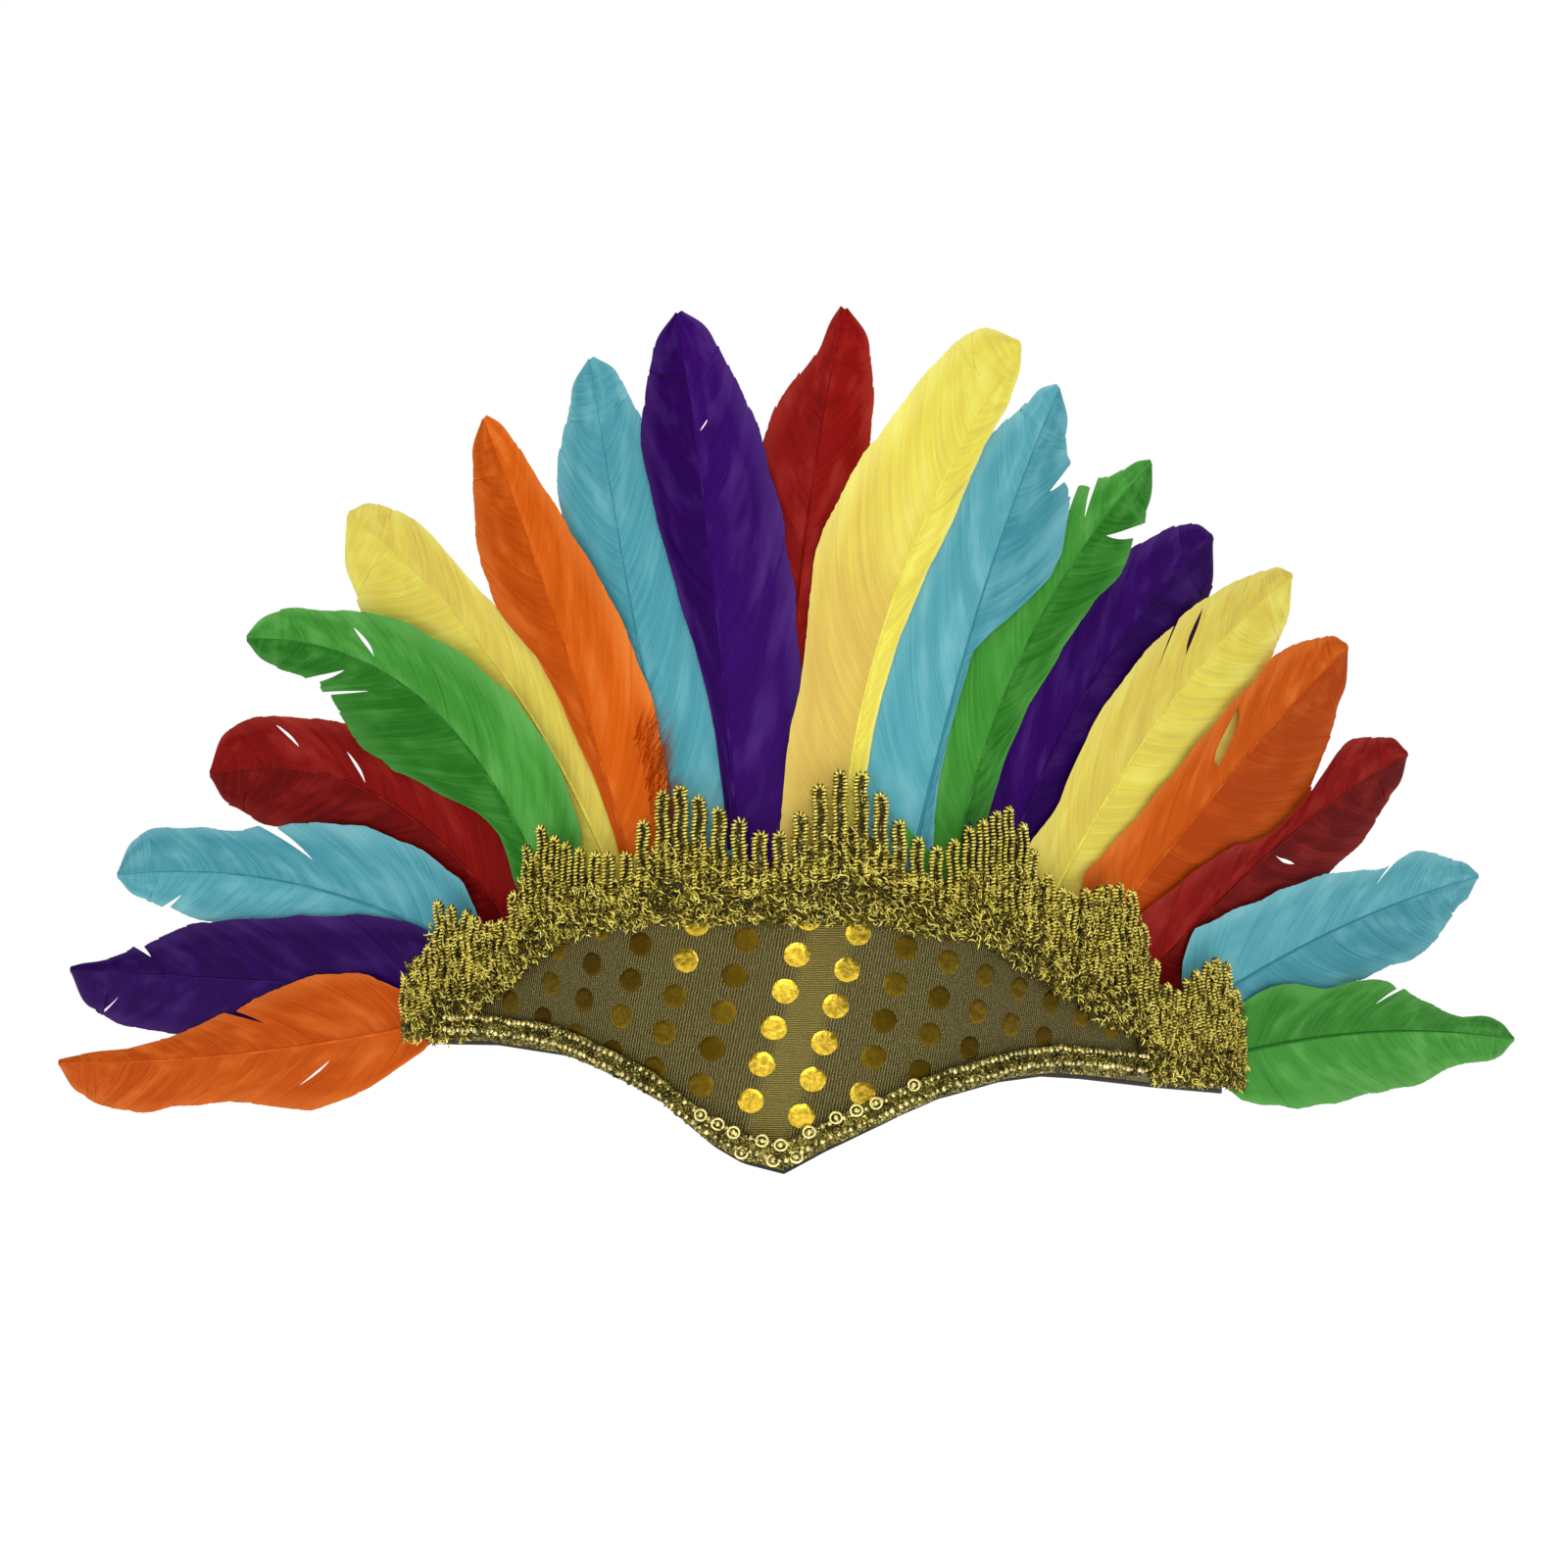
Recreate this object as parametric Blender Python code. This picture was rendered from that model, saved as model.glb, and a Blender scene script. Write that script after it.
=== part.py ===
"""Carnival headdress: a stiff felt band with gold cloth, lace and braid, and a fan of nineteen dyed feathers.

Metres, +Z up. The wearer faces -Y. The origin is on the band's inner face, at the middle of the forehead.
Points are worked out on the unrolled band: s is the arc length from the middle, positive to the right in
the front view, z is the height, and n is the distance in front of the band's inner face.
"""

import math
from collections import namedtuple

import bmesh
import bpy
from mathutils import Vector

MM = 0.001

# Plan of the inner face: a round brow, then two flatter temples and straight tails
BROW_RADIUS = 66 * MM
BROW_TURN = math.radians(40)
LEFT_ARC = 116 * MM
LEFT_TURN = math.radians(3)
RIGHT_ARC = 157.5 * MM
RIGHT_TURN = math.radians(12)

# The tall feathers sweep back above this height
SWEEP_START = 45 * MM
SWEEP_RISE = 140 * MM
SWEEP_DEPTH = 18 * MM

# Band
POINT_DROP = 28.3 * MM
LACE_PEAK = 72.5 * MM
CLEARANCE = 0.3 * MM
BACKING_THICK = 1.2 * MM
BACKING_LIP = 1.2 * MM
PANEL_THICK = 1.2 * MM
HEM_HEIGHT = 3 * MM
LACE_THICK = 2 * MM
LACE_PITCH = 4.5 * MM
LACE_FINGER = 2.8 * MM
LACE_NOTCH = 4.5 * MM
BRAID_HEIGHT = 7 * MM
BRAID_EDGE = 0.8 * MM
BRAID_RIDGE = 1.8 * MM
BRAID_VALLEY = 1.1 * MM
BAND_STEP = 7 * MM
BACKING_REACH = (-0.931, 0.952)
PANEL_REACH = (-0.931, 0.914)
BRAID_REACH = (-0.733, 0.663)
LACE_REACH = (-0.99, 0.975)

# Feathers
FAN_LEFT = 262 * MM
FAN_RIGHT = 304 * MM
FAN_HEIGHT = 186 * MM
VANE_REACH = 20 * MM
VANE_THICK = 0.6 * MM
VANE_CAMBER = 0.25 * MM
CAMBER_GROWTH = 0.7 * MM
SHAFT_RIDGE = 0.2 * MM
SHAFT_RADIUS = 0.6 * MM
QUILL_RADIUS = 1.0 * MM
QUILL_SEATED = 14 * MM
QUILL_RISE = 8 * MM
LAYER_PITCH = 1.3 * MM
LAYER_SPREAD = 1.1 * MM
SPREAD_SIDE = 95 * MM
SPREAD_BASE = 45 * MM

# Depths n of the stacked layers, from the backing forward
QUILL_BACK = BACKING_THICK + CLEARANCE + QUILL_RADIUS
FRONT_LAYER = QUILL_BACK + 2 * LAYER_PITCH
PANEL_BACK = QUILL_BACK + LAYER_PITCH + VANE_THICK / 2 + SHAFT_RIDGE + CLEARANCE
QUILL_FRONT = PANEL_BACK - CLEARANCE - QUILL_RADIUS
HEM_BACK = BACKING_THICK + CLEARANCE
LACE_BACK = PANEL_BACK + PANEL_THICK + CLEARANCE

# Outlines: along is a share of LEFT_ARC (negative) or RIGHT_ARC, drop of POINT_DROP, up of LACE_PEAK
Drop = namedtuple("Drop", "along drop")
Rise = namedtuple("Rise", "along up")

BAND_BOTTOM = (
    Drop(-1.0, 0.0), Drop(-0.733, 0.03), Drop(-0.517, -0.035), Drop(-0.431, -0.13), Drop(-0.345, -0.25),
    Drop(-0.259, -0.41), Drop(-0.147, -0.77), Drop(-0.086, -0.91), Drop(0.0, -1.0), Drop(0.063, -0.81),
    Drop(0.127, -0.65), Drop(0.19, -0.5), Drop(0.254, -0.38), Drop(0.38, -0.265), Drop(0.476, -0.237),
    Drop(0.571, -0.283), Drop(0.762, -0.413), Drop(1.0, -0.55),
)
BAND_TOP = (
    Rise(-1.0, 0.16), Rise(-0.931, 0.22), Rise(-0.862, 0.276), Rise(-0.776, 0.317), Rise(-0.69, 0.345),
    Rise(-0.603, 0.414), Rise(-0.474, 0.483), Rise(-0.345, 0.524), Rise(-0.172, 0.566), Rise(0.0, 0.579),
    Rise(0.127, 0.579), Rise(0.229, 0.538), Rise(0.4, 0.455), Rise(0.571, 0.372), Rise(0.635, 0.303),
    Rise(0.698, 0.207), Rise(0.762, 0.138), Rise(0.825, 0.152), Rise(0.889, 0.138), Rise(1.0, 0.03),
)
LACE_LOW = (
    Rise(-1.0, 0.02), Rise(-0.77, 0.02), Rise(-0.745, 0.138), Rise(-0.69, 0.18), Rise(-0.603, 0.276),
    Rise(-0.517, 0.368), Rise(-0.431, 0.414), Rise(-0.259, 0.455), Rise(0.0, 0.46), Rise(0.127, 0.455),
    Rise(0.254, 0.4), Rise(0.317, 0.386), Rise(0.4, 0.276), Rise(0.508, 0.18), Rise(0.571, 0.092),
    Rise(0.673, 0.025), Rise(0.7, -0.13), Rise(0.762, -0.145), Rise(1.0, -0.19),
)
LACE_TOP = (
    Rise(-1.0, 0.14), Rise(-0.966, 0.317), Rise(-0.905, 0.331), Rise(-0.888, 0.455), Rise(-0.862, 0.524),
    Rise(-0.793, 0.497), Rise(-0.707, 0.455), Rise(-0.647, 0.469), Rise(-0.603, 0.69), Rise(-0.56, 0.8),
    Rise(-0.5, 0.745), Rise(-0.405, 0.703), Rise(-0.319, 0.703), Rise(-0.259, 0.869), Rise(-0.224, 0.952),
    Rise(-0.129, 0.862), Rise(-0.069, 0.8), Rise(-0.026, 0.754), Rise(0.01, 0.8), Rise(0.057, 0.952),
    Rise(0.098, 1.0), Rise(0.133, 0.92), Rise(0.178, 0.772), Rise(0.233, 0.713), Rise(0.273, 0.782),
    Rise(0.337, 0.841), Rise(0.381, 0.862), Rise(0.4, 0.772), Rise(0.457, 0.607), Rise(0.495, 0.552),
    Rise(0.552, 0.575), Rise(0.646, 0.586), Rise(0.667, 0.483), Rise(0.698, 0.386), Rise(0.717, 0.248),
    Rise(0.762, 0.193), Rise(0.806, 0.248), Rise(0.873, 0.31), Rise(0.908, 0.29), Rise(0.952, 0.138),
    Rise(0.975, 0.03), Rise(1.0, -0.02),
)

# Shares of the way from the bare quill to the tip where the vanes' half widths are given, the place and the
# share of the last width where the tip is rounded off, and the share of VANE_REACH left at its end
VANE_STATIONS = (0.0, 0.13, 0.31, 0.48, 0.65, 0.79, 0.92)
ROUNDING_AT = 0.975
ROUNDING = 0.6
VANE_TIP = 0.05

# Share of the camber at mid-vane, the shaft's share of a narrow vane and of its own taper, and the part of
# the quill's rise, along and in depth, where it gets as thin as the shaft
MID_CURL = 0.35
SHAFT_SHARE = 0.4
SHAFT_TAPER = 0.7
NECK_ALONG = 0.75
NECK_DEPTH = 0.8

# Faces round a vane's section that lie on its front
VANE_FRONT = 5

# Dyes
Dye = namedtuple("Dye", "color roughness")
DYES = {
    "orange": Dye((0.55, 0.10, 0.015), 0.6),
    "purple": Dye((0.035, 0.004, 0.09), 0.6),
    "turquoise": Dye((0.09, 0.32, 0.36), 0.6),
    "red": Dye((0.28, 0.015, 0.01), 0.6),
    "green": Dye((0.06, 0.27, 0.06), 0.6),
    "yellow": Dye((0.72, 0.62, 0.07), 0.6),
}

# One row per feather: root as shares of the band's arc and LACE_PEAK, tip as shares of the fan's reach and
# height, bow as a share of the length (positive to the left, seen from the front with the root down),
# layer counted from the front, and half widths as shares of VANE_REACH at VANE_STATIONS
Feather = namedtuple("Feather", "dye root_along root_up tip_along tip_up bow layer left right")
FEATHERS = (
    Feather("orange", -0.759, 0.13, -1.0, -0.059, 0.02, 1,
            (0.3, 0.64, 0.85, 0.68, 0.66, 0.7, 0.5), (0.35, 0.78, 0.88, 0.65, 0.36, 0.2, 0.14)),
    Feather("purple", -0.724, 0.193, -0.991, 0.081, 0.0, 2,
            (0.3, 1.0, 0.85, 0.7, 0.78, 0.78, 0.6), (0.75, 0.93, 0.93, 0.85, 0.72, 0.42, 0.15)),
    Feather("turquoise", -0.681, 0.262, -0.92, 0.225, -0.058, 3,
            (0.4, 0.7, 0.8, 0.8, 0.7, 0.62, 0.38), (0.8, 0.95, 1.0, 0.8, 0.6, 0.62, 0.56)),
    Feather("red", -0.595, 0.248, -0.774, 0.376, -0.14, 4,
            (0.6, 0.75, 0.85, 0.8, 0.75, 0.84, 0.55), (0.95, 0.95, 0.8, 0.8, 0.73, 0.7, 0.6)),
    Feather("green", -0.5, 0.303, -0.699, 0.572, -0.167, 2,
            (0.45, 0.35, 0.8, 1.05, 1.0, 0.52, 0.37), (0.9, 1.07, 0.98, 0.82, 0.7, 0.5, 0.38)),
    Feather("yellow", -0.31, 0.345, -0.562, 0.745, -0.085, 4,
            (0.75, 0.65, 0.7, 0.8, 0.95, 1.15, 0.8), (0.6, 0.65, 0.72, 0.62, 0.5, 0.55, 0.42)),
    Feather("orange", -0.267, 0.345, -0.357, 0.868, -0.021, 3,
            (0.15, 0.15, 0.3, 0.5, 0.92, 0.84, 0.5), (0.5, 0.83, 1.03, 1.0, 0.73, 0.52, 0.32)),
    Feather("turquoise", -0.147, 0.359, -0.221, 0.941, 0.008, 4,
            (0.5, 0.6, 0.7, 0.8, 0.85, 0.92, 0.52), (0.64, 0.8, 0.9, 0.94, 0.92, 0.8, 0.5)),
    Feather("purple", -0.086, 0.372, -0.107, 0.995, -0.017, 3,
            (0.12, 0.14, 0.25, 0.5, 0.7, 0.8, 0.52), (0.45, 0.8, 0.98, 1.0, 0.92, 0.8, 0.47)),
    Feather("red", 0.0, 0.372, 0.053, 1.0, 0.033, 4,
            (0.35, 0.45, 0.55, 0.65, 0.72, 0.68, 0.22), (0.4, 0.55, 0.65, 0.75, 0.8, 0.7, 0.52)),
    Feather("yellow", 0.089, 0.372, 0.228, 0.965, 0.105, 2,
            (0.75, 0.8, 0.86, 1.12, 1.12, 1.0, 0.75), (0.2, 0.21, 0.23, 0.3, 0.4, 0.36, 0.33)),
    Feather("turquoise", 0.175, 0.372, 0.281, 0.91, 0.047, 3,
            (1.0, 1.05, 1.12, 1.05, 0.92, 0.8, 0.38), (0.3, 0.15, 0.12, 0.25, 1.05, 1.0, 0.5)),
    Feather("green", 0.26, 0.359, 0.411, 0.815, 0.106, 4,
            (1.0, 1.0, 0.97, 1.0, 0.87, 0.6, 0.25), (0.4, 0.38, 0.43, 0.57, 0.65, 0.75, 0.5)),
    Feather("purple", 0.343, 0.345, 0.513, 0.716, 0.095, 5,
            (0.9, 0.85, 0.86, 0.88, 0.85, 0.7, 0.45), (0.7, 0.8, 0.95, 1.1, 1.2, 1.1, 0.7)),
    Feather("yellow", 0.425, 0.262, 0.637, 0.667, 0.08, 4,
            (0.8, 0.65, 0.86, 0.86, 0.72, 0.55, 0.33), (0.55, 0.8, 1.2, 1.4, 1.4, 1.1, 0.62)),
    Feather("orange", 0.521, 0.234, 0.722, 0.566, 0.027, 3,
            (0.85, 0.75, 0.77, 0.78, 0.75, 0.75, 0.42), (0.5, 0.75, 1.05, 1.4, 1.5, 1.15, 0.62)),
    Feather("red", 0.61, 0.069, 0.817, 0.406, 0.043, 2,
            (0.75, 0.7, 0.55, 0.22, 0.35, 0.65, 0.42), (0.75, 0.7, 0.7, 0.8, 0.92, 0.82, 0.44)),
    Feather("turquoise", 0.749, 0.041, 0.937, 0.218, 0.027, 1,
            (1.0, 0.97, 0.88, 0.77, 0.57, 0.62, 0.32), (0.3, 0.65, 0.85, 0.87, 0.87, 0.83, 0.37)),
    Feather("green", 0.832, -0.083, 0.992, -0.038, 0.03, 0,
            (0.6, 0.82, 0.66, 0.75, 0.45, 0.24, 0.27), (0.65, 0.88, 0.93, 0.87, 0.75, 0.46, 0.35)),
)


def plan_point(s):
    """Place on the inner face at arc length s, and the band's heading there."""
    side = math.copysign(1.0, s)
    end, turn = (LEFT_ARC, LEFT_TURN) if s < 0 else (RIGHT_ARC, RIGHT_TURN)
    brow_arc = BROW_RADIUS * BROW_TURN
    temple_radius = (end - brow_arc) / turn
    heading = min(abs(s), brow_arc) / BROW_RADIUS
    x = BROW_RADIUS * math.sin(heading)
    y = BROW_RADIUS * (1 - math.cos(heading))
    bend = min(max(abs(s) - brow_arc, 0.0), end - brow_arc) / temple_radius
    x += temple_radius * (math.sin(heading + bend) - math.sin(heading))
    y += temple_radius * (math.cos(heading) - math.cos(heading + bend))
    heading += bend
    tail = max(abs(s) - end, 0.0)
    x += tail * math.cos(heading)
    y += tail * math.sin(heading)
    return side * x, y, side * heading


def place(s, z, n):
    """World point of the unrolled point (s, z) at the distance n in front of the inner face."""
    x, y, heading = plan_point(s)
    back = SWEEP_DEPTH * (max(0.0, z - SWEEP_START) / SWEEP_RISE) ** 2
    return Vector((x + n * math.sin(heading), y - n * math.cos(heading) + back, z))


def arc_length(share, left=LEFT_ARC, right=RIGHT_ARC):
    """Arc length of a share of the left or the right reach."""
    return share * (left if share < 0 else right)


def outline(rows, size, s):
    """Height of an outline at s, straight between its rows."""
    points = [(arc_length(row[0]), row[1] * size) for row in rows]
    for (s0, z0), (s1, z1) in zip(points, points[1:]):
        if s <= s1:
            share = (s - s0) / (s1 - s0)
            return z0 + (z1 - z0) * share
    return points[-1][1]


def band_bottom(s):
    return outline(BAND_BOTTOM, POINT_DROP, s)


def band_top(s):
    return outline(BAND_TOP, LACE_PEAK, s)


def panel_depth(s, z):
    """Depth of the panel's back: against the backing at the hem, and forward of the quills above it."""
    share = (z - band_bottom(s) - BACKING_LIP) / HEM_HEIGHT
    return HEM_BACK + (PANEL_BACK - HEM_BACK) * min(max(share, 0.0), 1.0)


def band_columns(reach):
    """Arc lengths of a strip's sections, with one on the point in the middle."""
    left = arc_length(reach[0])
    right = arc_length(reach[1])
    left_count = max(2, round(-left / BAND_STEP))
    right_count = max(2, round(right / BAND_STEP))
    columns = [left * (1 - i / left_count) for i in range(left_count)]
    columns += [right * i / right_count for i in range(right_count + 1)]
    return columns


def make_material(name, color, roughness, metallic=0.0):
    material = bpy.data.materials.new(name)
    material.use_nodes = True
    shader = material.node_tree.nodes["Principled BSDF"]
    shader.inputs["Base Color"].default_value = (*color, 1.0)
    shader.inputs["Roughness"].default_value = roughness
    shader.inputs["Metallic"].default_value = metallic
    return material


def add_object(name, bm, material):
    """Close up, orient and link one solid."""
    bmesh.ops.recalc_face_normals(bm, faces=bm.faces)
    mesh = bpy.data.meshes.new(name)
    bm.to_mesh(mesh)
    bm.free()
    mesh.materials.append(material)
    mesh.shade_smooth()
    mesh.set_sharp_from_angle(angle=math.radians(35))
    obj = bpy.data.objects.new(name, mesh)
    bpy.context.scene.collection.objects.link(obj)
    return obj


def loft(name, sections, material, front=None):
    """Closed solid through rings of points, with flat ends.

    In a thin solid, whose first faces round a ring are its front, each face is two triangles whose diagonal
    lies the same way on the front as on the back, so that the two sides never cross.
    """
    bm = bmesh.new()
    rings = [[bm.verts.new(point) for point in section] for section in sections]
    count = len(rings[0])
    for ring, following in zip(rings, rings[1:]):
        for i in range(count):
            j = (i + 1) % count
            corners = (ring[i], ring[j], following[j], following[i])
            if front is None:
                bm.faces.new(corners)
                continue
            first = 0 if i < front else 1
            a, b, c, d = corners[first:] + corners[:first]
            bm.faces.new((a, b, c))
            bm.faces.new((a, c, d))
    bm.faces.new(rings[0])
    bm.faces.new(rings[-1])
    return add_object(name, bm, material)


def build_backing(material):
    sections = []
    for s in band_columns(BACKING_REACH):
        low = band_bottom(s)
        high = band_top(s) - BACKING_LIP
        corners = ((low, 0.0), (high, 0.0), (high, BACKING_THICK), (low, BACKING_THICK))
        sections.append([place(s, z, n) for z, n in corners])
    loft("backing", sections, material)


def build_panel(material):
    sections = []
    for s in band_columns(PANEL_REACH):
        low = band_bottom(s) + BACKING_LIP
        rows = (low, low + HEM_HEIGHT, band_top(s))
        back = [place(s, z, panel_depth(s, z)) for z in rows]
        front = [place(s, z, panel_depth(s, z) + PANEL_THICK) for z in reversed(rows)]
        sections.append(back + front)
    loft("front_panel", sections, material)


def build_braid(material):
    """Two rows of beads, as two ridges along the band's lower edge."""
    ridges = ((1.0, BRAID_EDGE), (0.75, BRAID_RIDGE), (0.5, BRAID_VALLEY), (0.25, BRAID_RIDGE), (0.0, BRAID_EDGE))
    sections = []
    for s in band_columns(BRAID_REACH):
        low = band_bottom(s) + BACKING_LIP
        back = [(z, 0.0) for z in (low, low + HEM_HEIGHT, low + BRAID_HEIGHT)]
        front = [(low + share * BRAID_HEIGHT, thick) for share, thick in ridges]
        ring = []
        for z, thick in back + front:
            ring.append(place(s, z, panel_depth(s, z) + PANEL_THICK + CLEARANCE + thick))
        sections.append(ring)
    loft("bottom_braid", sections, material)


def lace_ring(bm, points):
    """Back and front vertices at each unrolled point of the lace."""
    ring = []
    for s, z in points:
        back = bm.verts.new(place(s, z, LACE_BACK))
        front = bm.verts.new(place(s, z, LACE_BACK + LACE_THICK))
        ring.append((back, front))
    return ring


def bridge(bm, first, second):
    """Back and front faces between two rows of paired vertices."""
    for (a, b) in zip(zip(first, first[1:]), zip(second, second[1:])):
        (a0, a1), (b0, b1) = a, b
        for side in (0, 1):
            bm.faces.new((a0[side], a1[side], b1[side], b0[side]))


def wall(bm, first, second):
    """Edge face between two neighbouring pairs of vertices."""
    bm.faces.new((first[0], second[0], second[1], first[1]))


def build_lace(material):
    """A comb of upright fingers on a band that follows the scalloped outline."""
    left = arc_length(LACE_REACH[0])
    right = arc_length(LACE_REACH[1])
    count = max(2, round((right - left - LACE_FINGER) / LACE_PITCH))
    pitch = (right - left - LACE_FINGER) / count
    bm = bmesh.new()
    columns = []
    tops = []
    for i in range(count + 1):
        start = left + i * pitch
        middle = start + LACE_FINGER / 2
        top = outline(LACE_TOP, LACE_PEAK, middle)
        for s in (start, start + LACE_FINGER):
            low = max(outline(LACE_LOW, LACE_PEAK, s), band_bottom(s) + BACKING_LIP)
            notch = top - LACE_NOTCH
            columns.append(lace_ring(bm, ((s, low), (s, notch))))
        shoulder = ((start, top - LACE_FINGER / 2), (start + LACE_FINGER, top - LACE_FINGER / 2))
        crown = ((middle - LACE_FINGER / 5, top), (middle + LACE_FINGER / 5, top))
        tops.append((lace_ring(bm, shoulder), lace_ring(bm, crown)))
    for first, second in zip(columns, columns[1:]):
        bridge(bm, first, second)
        wall(bm, first[0], second[0])
    for i, (shoulder, crown) in enumerate(tops):
        foot = [columns[2 * i][-1], columns[2 * i + 1][-1]]
        for lower, upper in ((foot, shoulder), (shoulder, crown)):
            bridge(bm, lower, upper)
            for side in (0, 1):
                wall(bm, lower[side], upper[side])
        wall(bm, *crown)
        if i < count:
            wall(bm, columns[2 * i + 1][-1], columns[2 * i + 2][-1])
    for ring in (columns[0], columns[-1]):
        for first, second in zip(ring, ring[1:]):
            wall(bm, first, second)
    add_object("top_lace", bm, material)


def layer_depth(layer, s, z):
    """Depth of a layer: the layers spread apart towards the tips."""
    out = max(abs(s) - SPREAD_SIDE, 0.0)
    up = max(z - SPREAD_BASE, 0.0)
    share = min(math.hypot(out, up) / FAN_HEIGHT, 1.0)
    return FRONT_LAYER - layer * (LAYER_PITCH + LAYER_SPREAD * share), share


def shaft_curve(row):
    """Function from the share of the length to the shaft's point, its left-hand normal and its length."""
    root = Vector((arc_length(row.root_along), row.root_up * LACE_PEAK))
    tip = Vector((arc_length(row.tip_along, FAN_LEFT, FAN_RIGHT), row.tip_up * FAN_HEIGHT))
    chord = tip - root
    bowed = (root + tip) / 2 + 2 * row.bow * Vector((-chord.y, chord.x))

    def at(share):
        point = (1 - share) ** 2 * root + 2 * share * (1 - share) * bowed + share ** 2 * tip
        tangent = ((1 - share) * (bowed - root) + share * (tip - bowed)).normalized()
        return point, Vector((-tangent.y, tangent.x))

    return at, chord.length


def quill_section(at, share, radius, depth):
    """Nine points around the bare quill."""
    point, normal = at(share)
    ring = []
    for degrees in (180, 130, 105, 75, 50, 0, -50, -90, -130):
        angle = math.radians(degrees)
        spot = point - normal * radius * math.cos(angle)
        ring.append(place(spot.x, spot.y, depth + radius * math.sin(angle)))
    return ring


def vane_section(at, share, left, right, layer):
    """Nine points around both vanes and the shaft's ridge, with thin outer edges that curve back."""
    point, normal = at(share)
    half = VANE_THICK / 2
    shaft = min(SHAFT_RADIUS, SHAFT_SHARE * left, SHAFT_SHARE * right) * (1 - SHAFT_TAPER * share)
    corners = (
        (left, 0.0, 1.0), (left / 2, half, MID_CURL), (shaft, half + SHAFT_RIDGE, 0.0),
        (-shaft, half + SHAFT_RIDGE, 0.0), (-right / 2, half, MID_CURL), (-right, 0.0, 1.0),
        (-right / 2, -half, MID_CURL), (0.0, -half, 0.0), (left / 2, -half, MID_CURL),
    )
    ring = []
    for aside, raised, curl in corners:
        spot = point + normal * aside
        depth, spread = layer_depth(layer, spot.x, spot.y)
        camber = VANE_CAMBER + CAMBER_GROWTH * spread
        ring.append(place(spot.x, spot.y, depth + raised - curl * camber))
    return ring


def build_feather(number, row, material):
    at, length = shaft_curve(row)
    bare = (QUILL_SEATED + QUILL_RISE) / length
    point, normal = at(bare)
    free_depth = layer_depth(row.layer, point.x, point.y)[0]
    seat_depth = min(max(free_depth, QUILL_BACK), QUILL_FRONT)
    rise = QUILL_SEATED / length
    sections = [quill_section(at, 0.0, QUILL_RADIUS, seat_depth)]
    sections.append(quill_section(at, rise, QUILL_RADIUS, seat_depth))
    neck_depth = seat_depth + NECK_DEPTH * (free_depth - seat_depth)
    sections.append(quill_section(at, rise + NECK_ALONG * (bare - rise), SHAFT_RADIUS, neck_depth))
    rounded = (ROUNDING_AT, ROUNDING * row.left[-1], ROUNDING * row.right[-1])
    for station, left, right in (*zip(VANE_STATIONS, row.left, row.right), rounded):
        share = bare + (1 - bare) * station
        sections.append(vane_section(at, share, left * VANE_REACH, right * VANE_REACH, row.layer))
    tip = VANE_TIP * VANE_REACH
    sections.append(vane_section(at, 1.0, tip, tip, row.layer))
    loft(f"feather_{number:02d}_{row.dye}", sections, material, VANE_FRONT)


def clear_scene():
    for obj in list(bpy.data.objects):
        bpy.data.objects.remove(obj)


def build_headdress():
    clear_scene()
    build_backing(make_material("felt", (0.012, 0.01, 0.008), 0.9))
    build_panel(make_material("gold_knit", (0.16, 0.115, 0.025), 0.6, 0.4))
    build_braid(make_material("gold_braid", (0.42, 0.33, 0.08), 0.35, 0.7))
    build_lace(make_material("gold_lace", (0.36, 0.28, 0.06), 0.4, 0.7))
    dyed = {name: make_material(f"dyed_{name}", dye.color, dye.roughness) for name, dye in DYES.items()}
    for number, row in enumerate(FEATHERS, 1):
        build_feather(number, row, dyed[row.dye])


build_headdress()
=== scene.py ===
"""Looks of a feathered carnival headdress: dyed feathers, gold lace, beaded braid, knit cloth and foil dots.

Metres, +Z up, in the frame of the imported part. Points are worked out on the unrolled band: s is the arc
length from the middle, positive to the right in the front view, z is the height, and n is the distance in
front of the band's inner face.
"""

import math

import bpy
import numpy as np
from bpy.props import FloatProperty, FloatVectorProperty, IntProperty, PointerProperty
from bpy.types import Operator, Panel, PropertyGroup
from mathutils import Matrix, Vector


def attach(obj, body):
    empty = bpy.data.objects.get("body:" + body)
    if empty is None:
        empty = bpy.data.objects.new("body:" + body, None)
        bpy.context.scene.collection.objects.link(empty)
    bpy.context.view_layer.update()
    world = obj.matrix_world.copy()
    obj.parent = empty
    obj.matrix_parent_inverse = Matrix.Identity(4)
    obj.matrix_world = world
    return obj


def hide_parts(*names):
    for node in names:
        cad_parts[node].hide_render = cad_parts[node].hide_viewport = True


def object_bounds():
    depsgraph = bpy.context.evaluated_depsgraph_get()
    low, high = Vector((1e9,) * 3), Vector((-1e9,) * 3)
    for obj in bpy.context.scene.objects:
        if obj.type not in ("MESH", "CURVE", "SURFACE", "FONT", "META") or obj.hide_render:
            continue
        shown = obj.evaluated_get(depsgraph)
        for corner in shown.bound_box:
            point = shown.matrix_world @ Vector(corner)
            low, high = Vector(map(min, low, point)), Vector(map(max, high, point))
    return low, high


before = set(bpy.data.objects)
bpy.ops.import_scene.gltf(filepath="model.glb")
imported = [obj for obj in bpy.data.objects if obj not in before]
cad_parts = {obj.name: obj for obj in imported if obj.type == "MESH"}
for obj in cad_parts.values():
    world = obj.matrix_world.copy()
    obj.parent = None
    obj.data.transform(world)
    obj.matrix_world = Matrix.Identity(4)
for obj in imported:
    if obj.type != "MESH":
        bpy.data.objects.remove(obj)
CAD_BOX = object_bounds()

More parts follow.
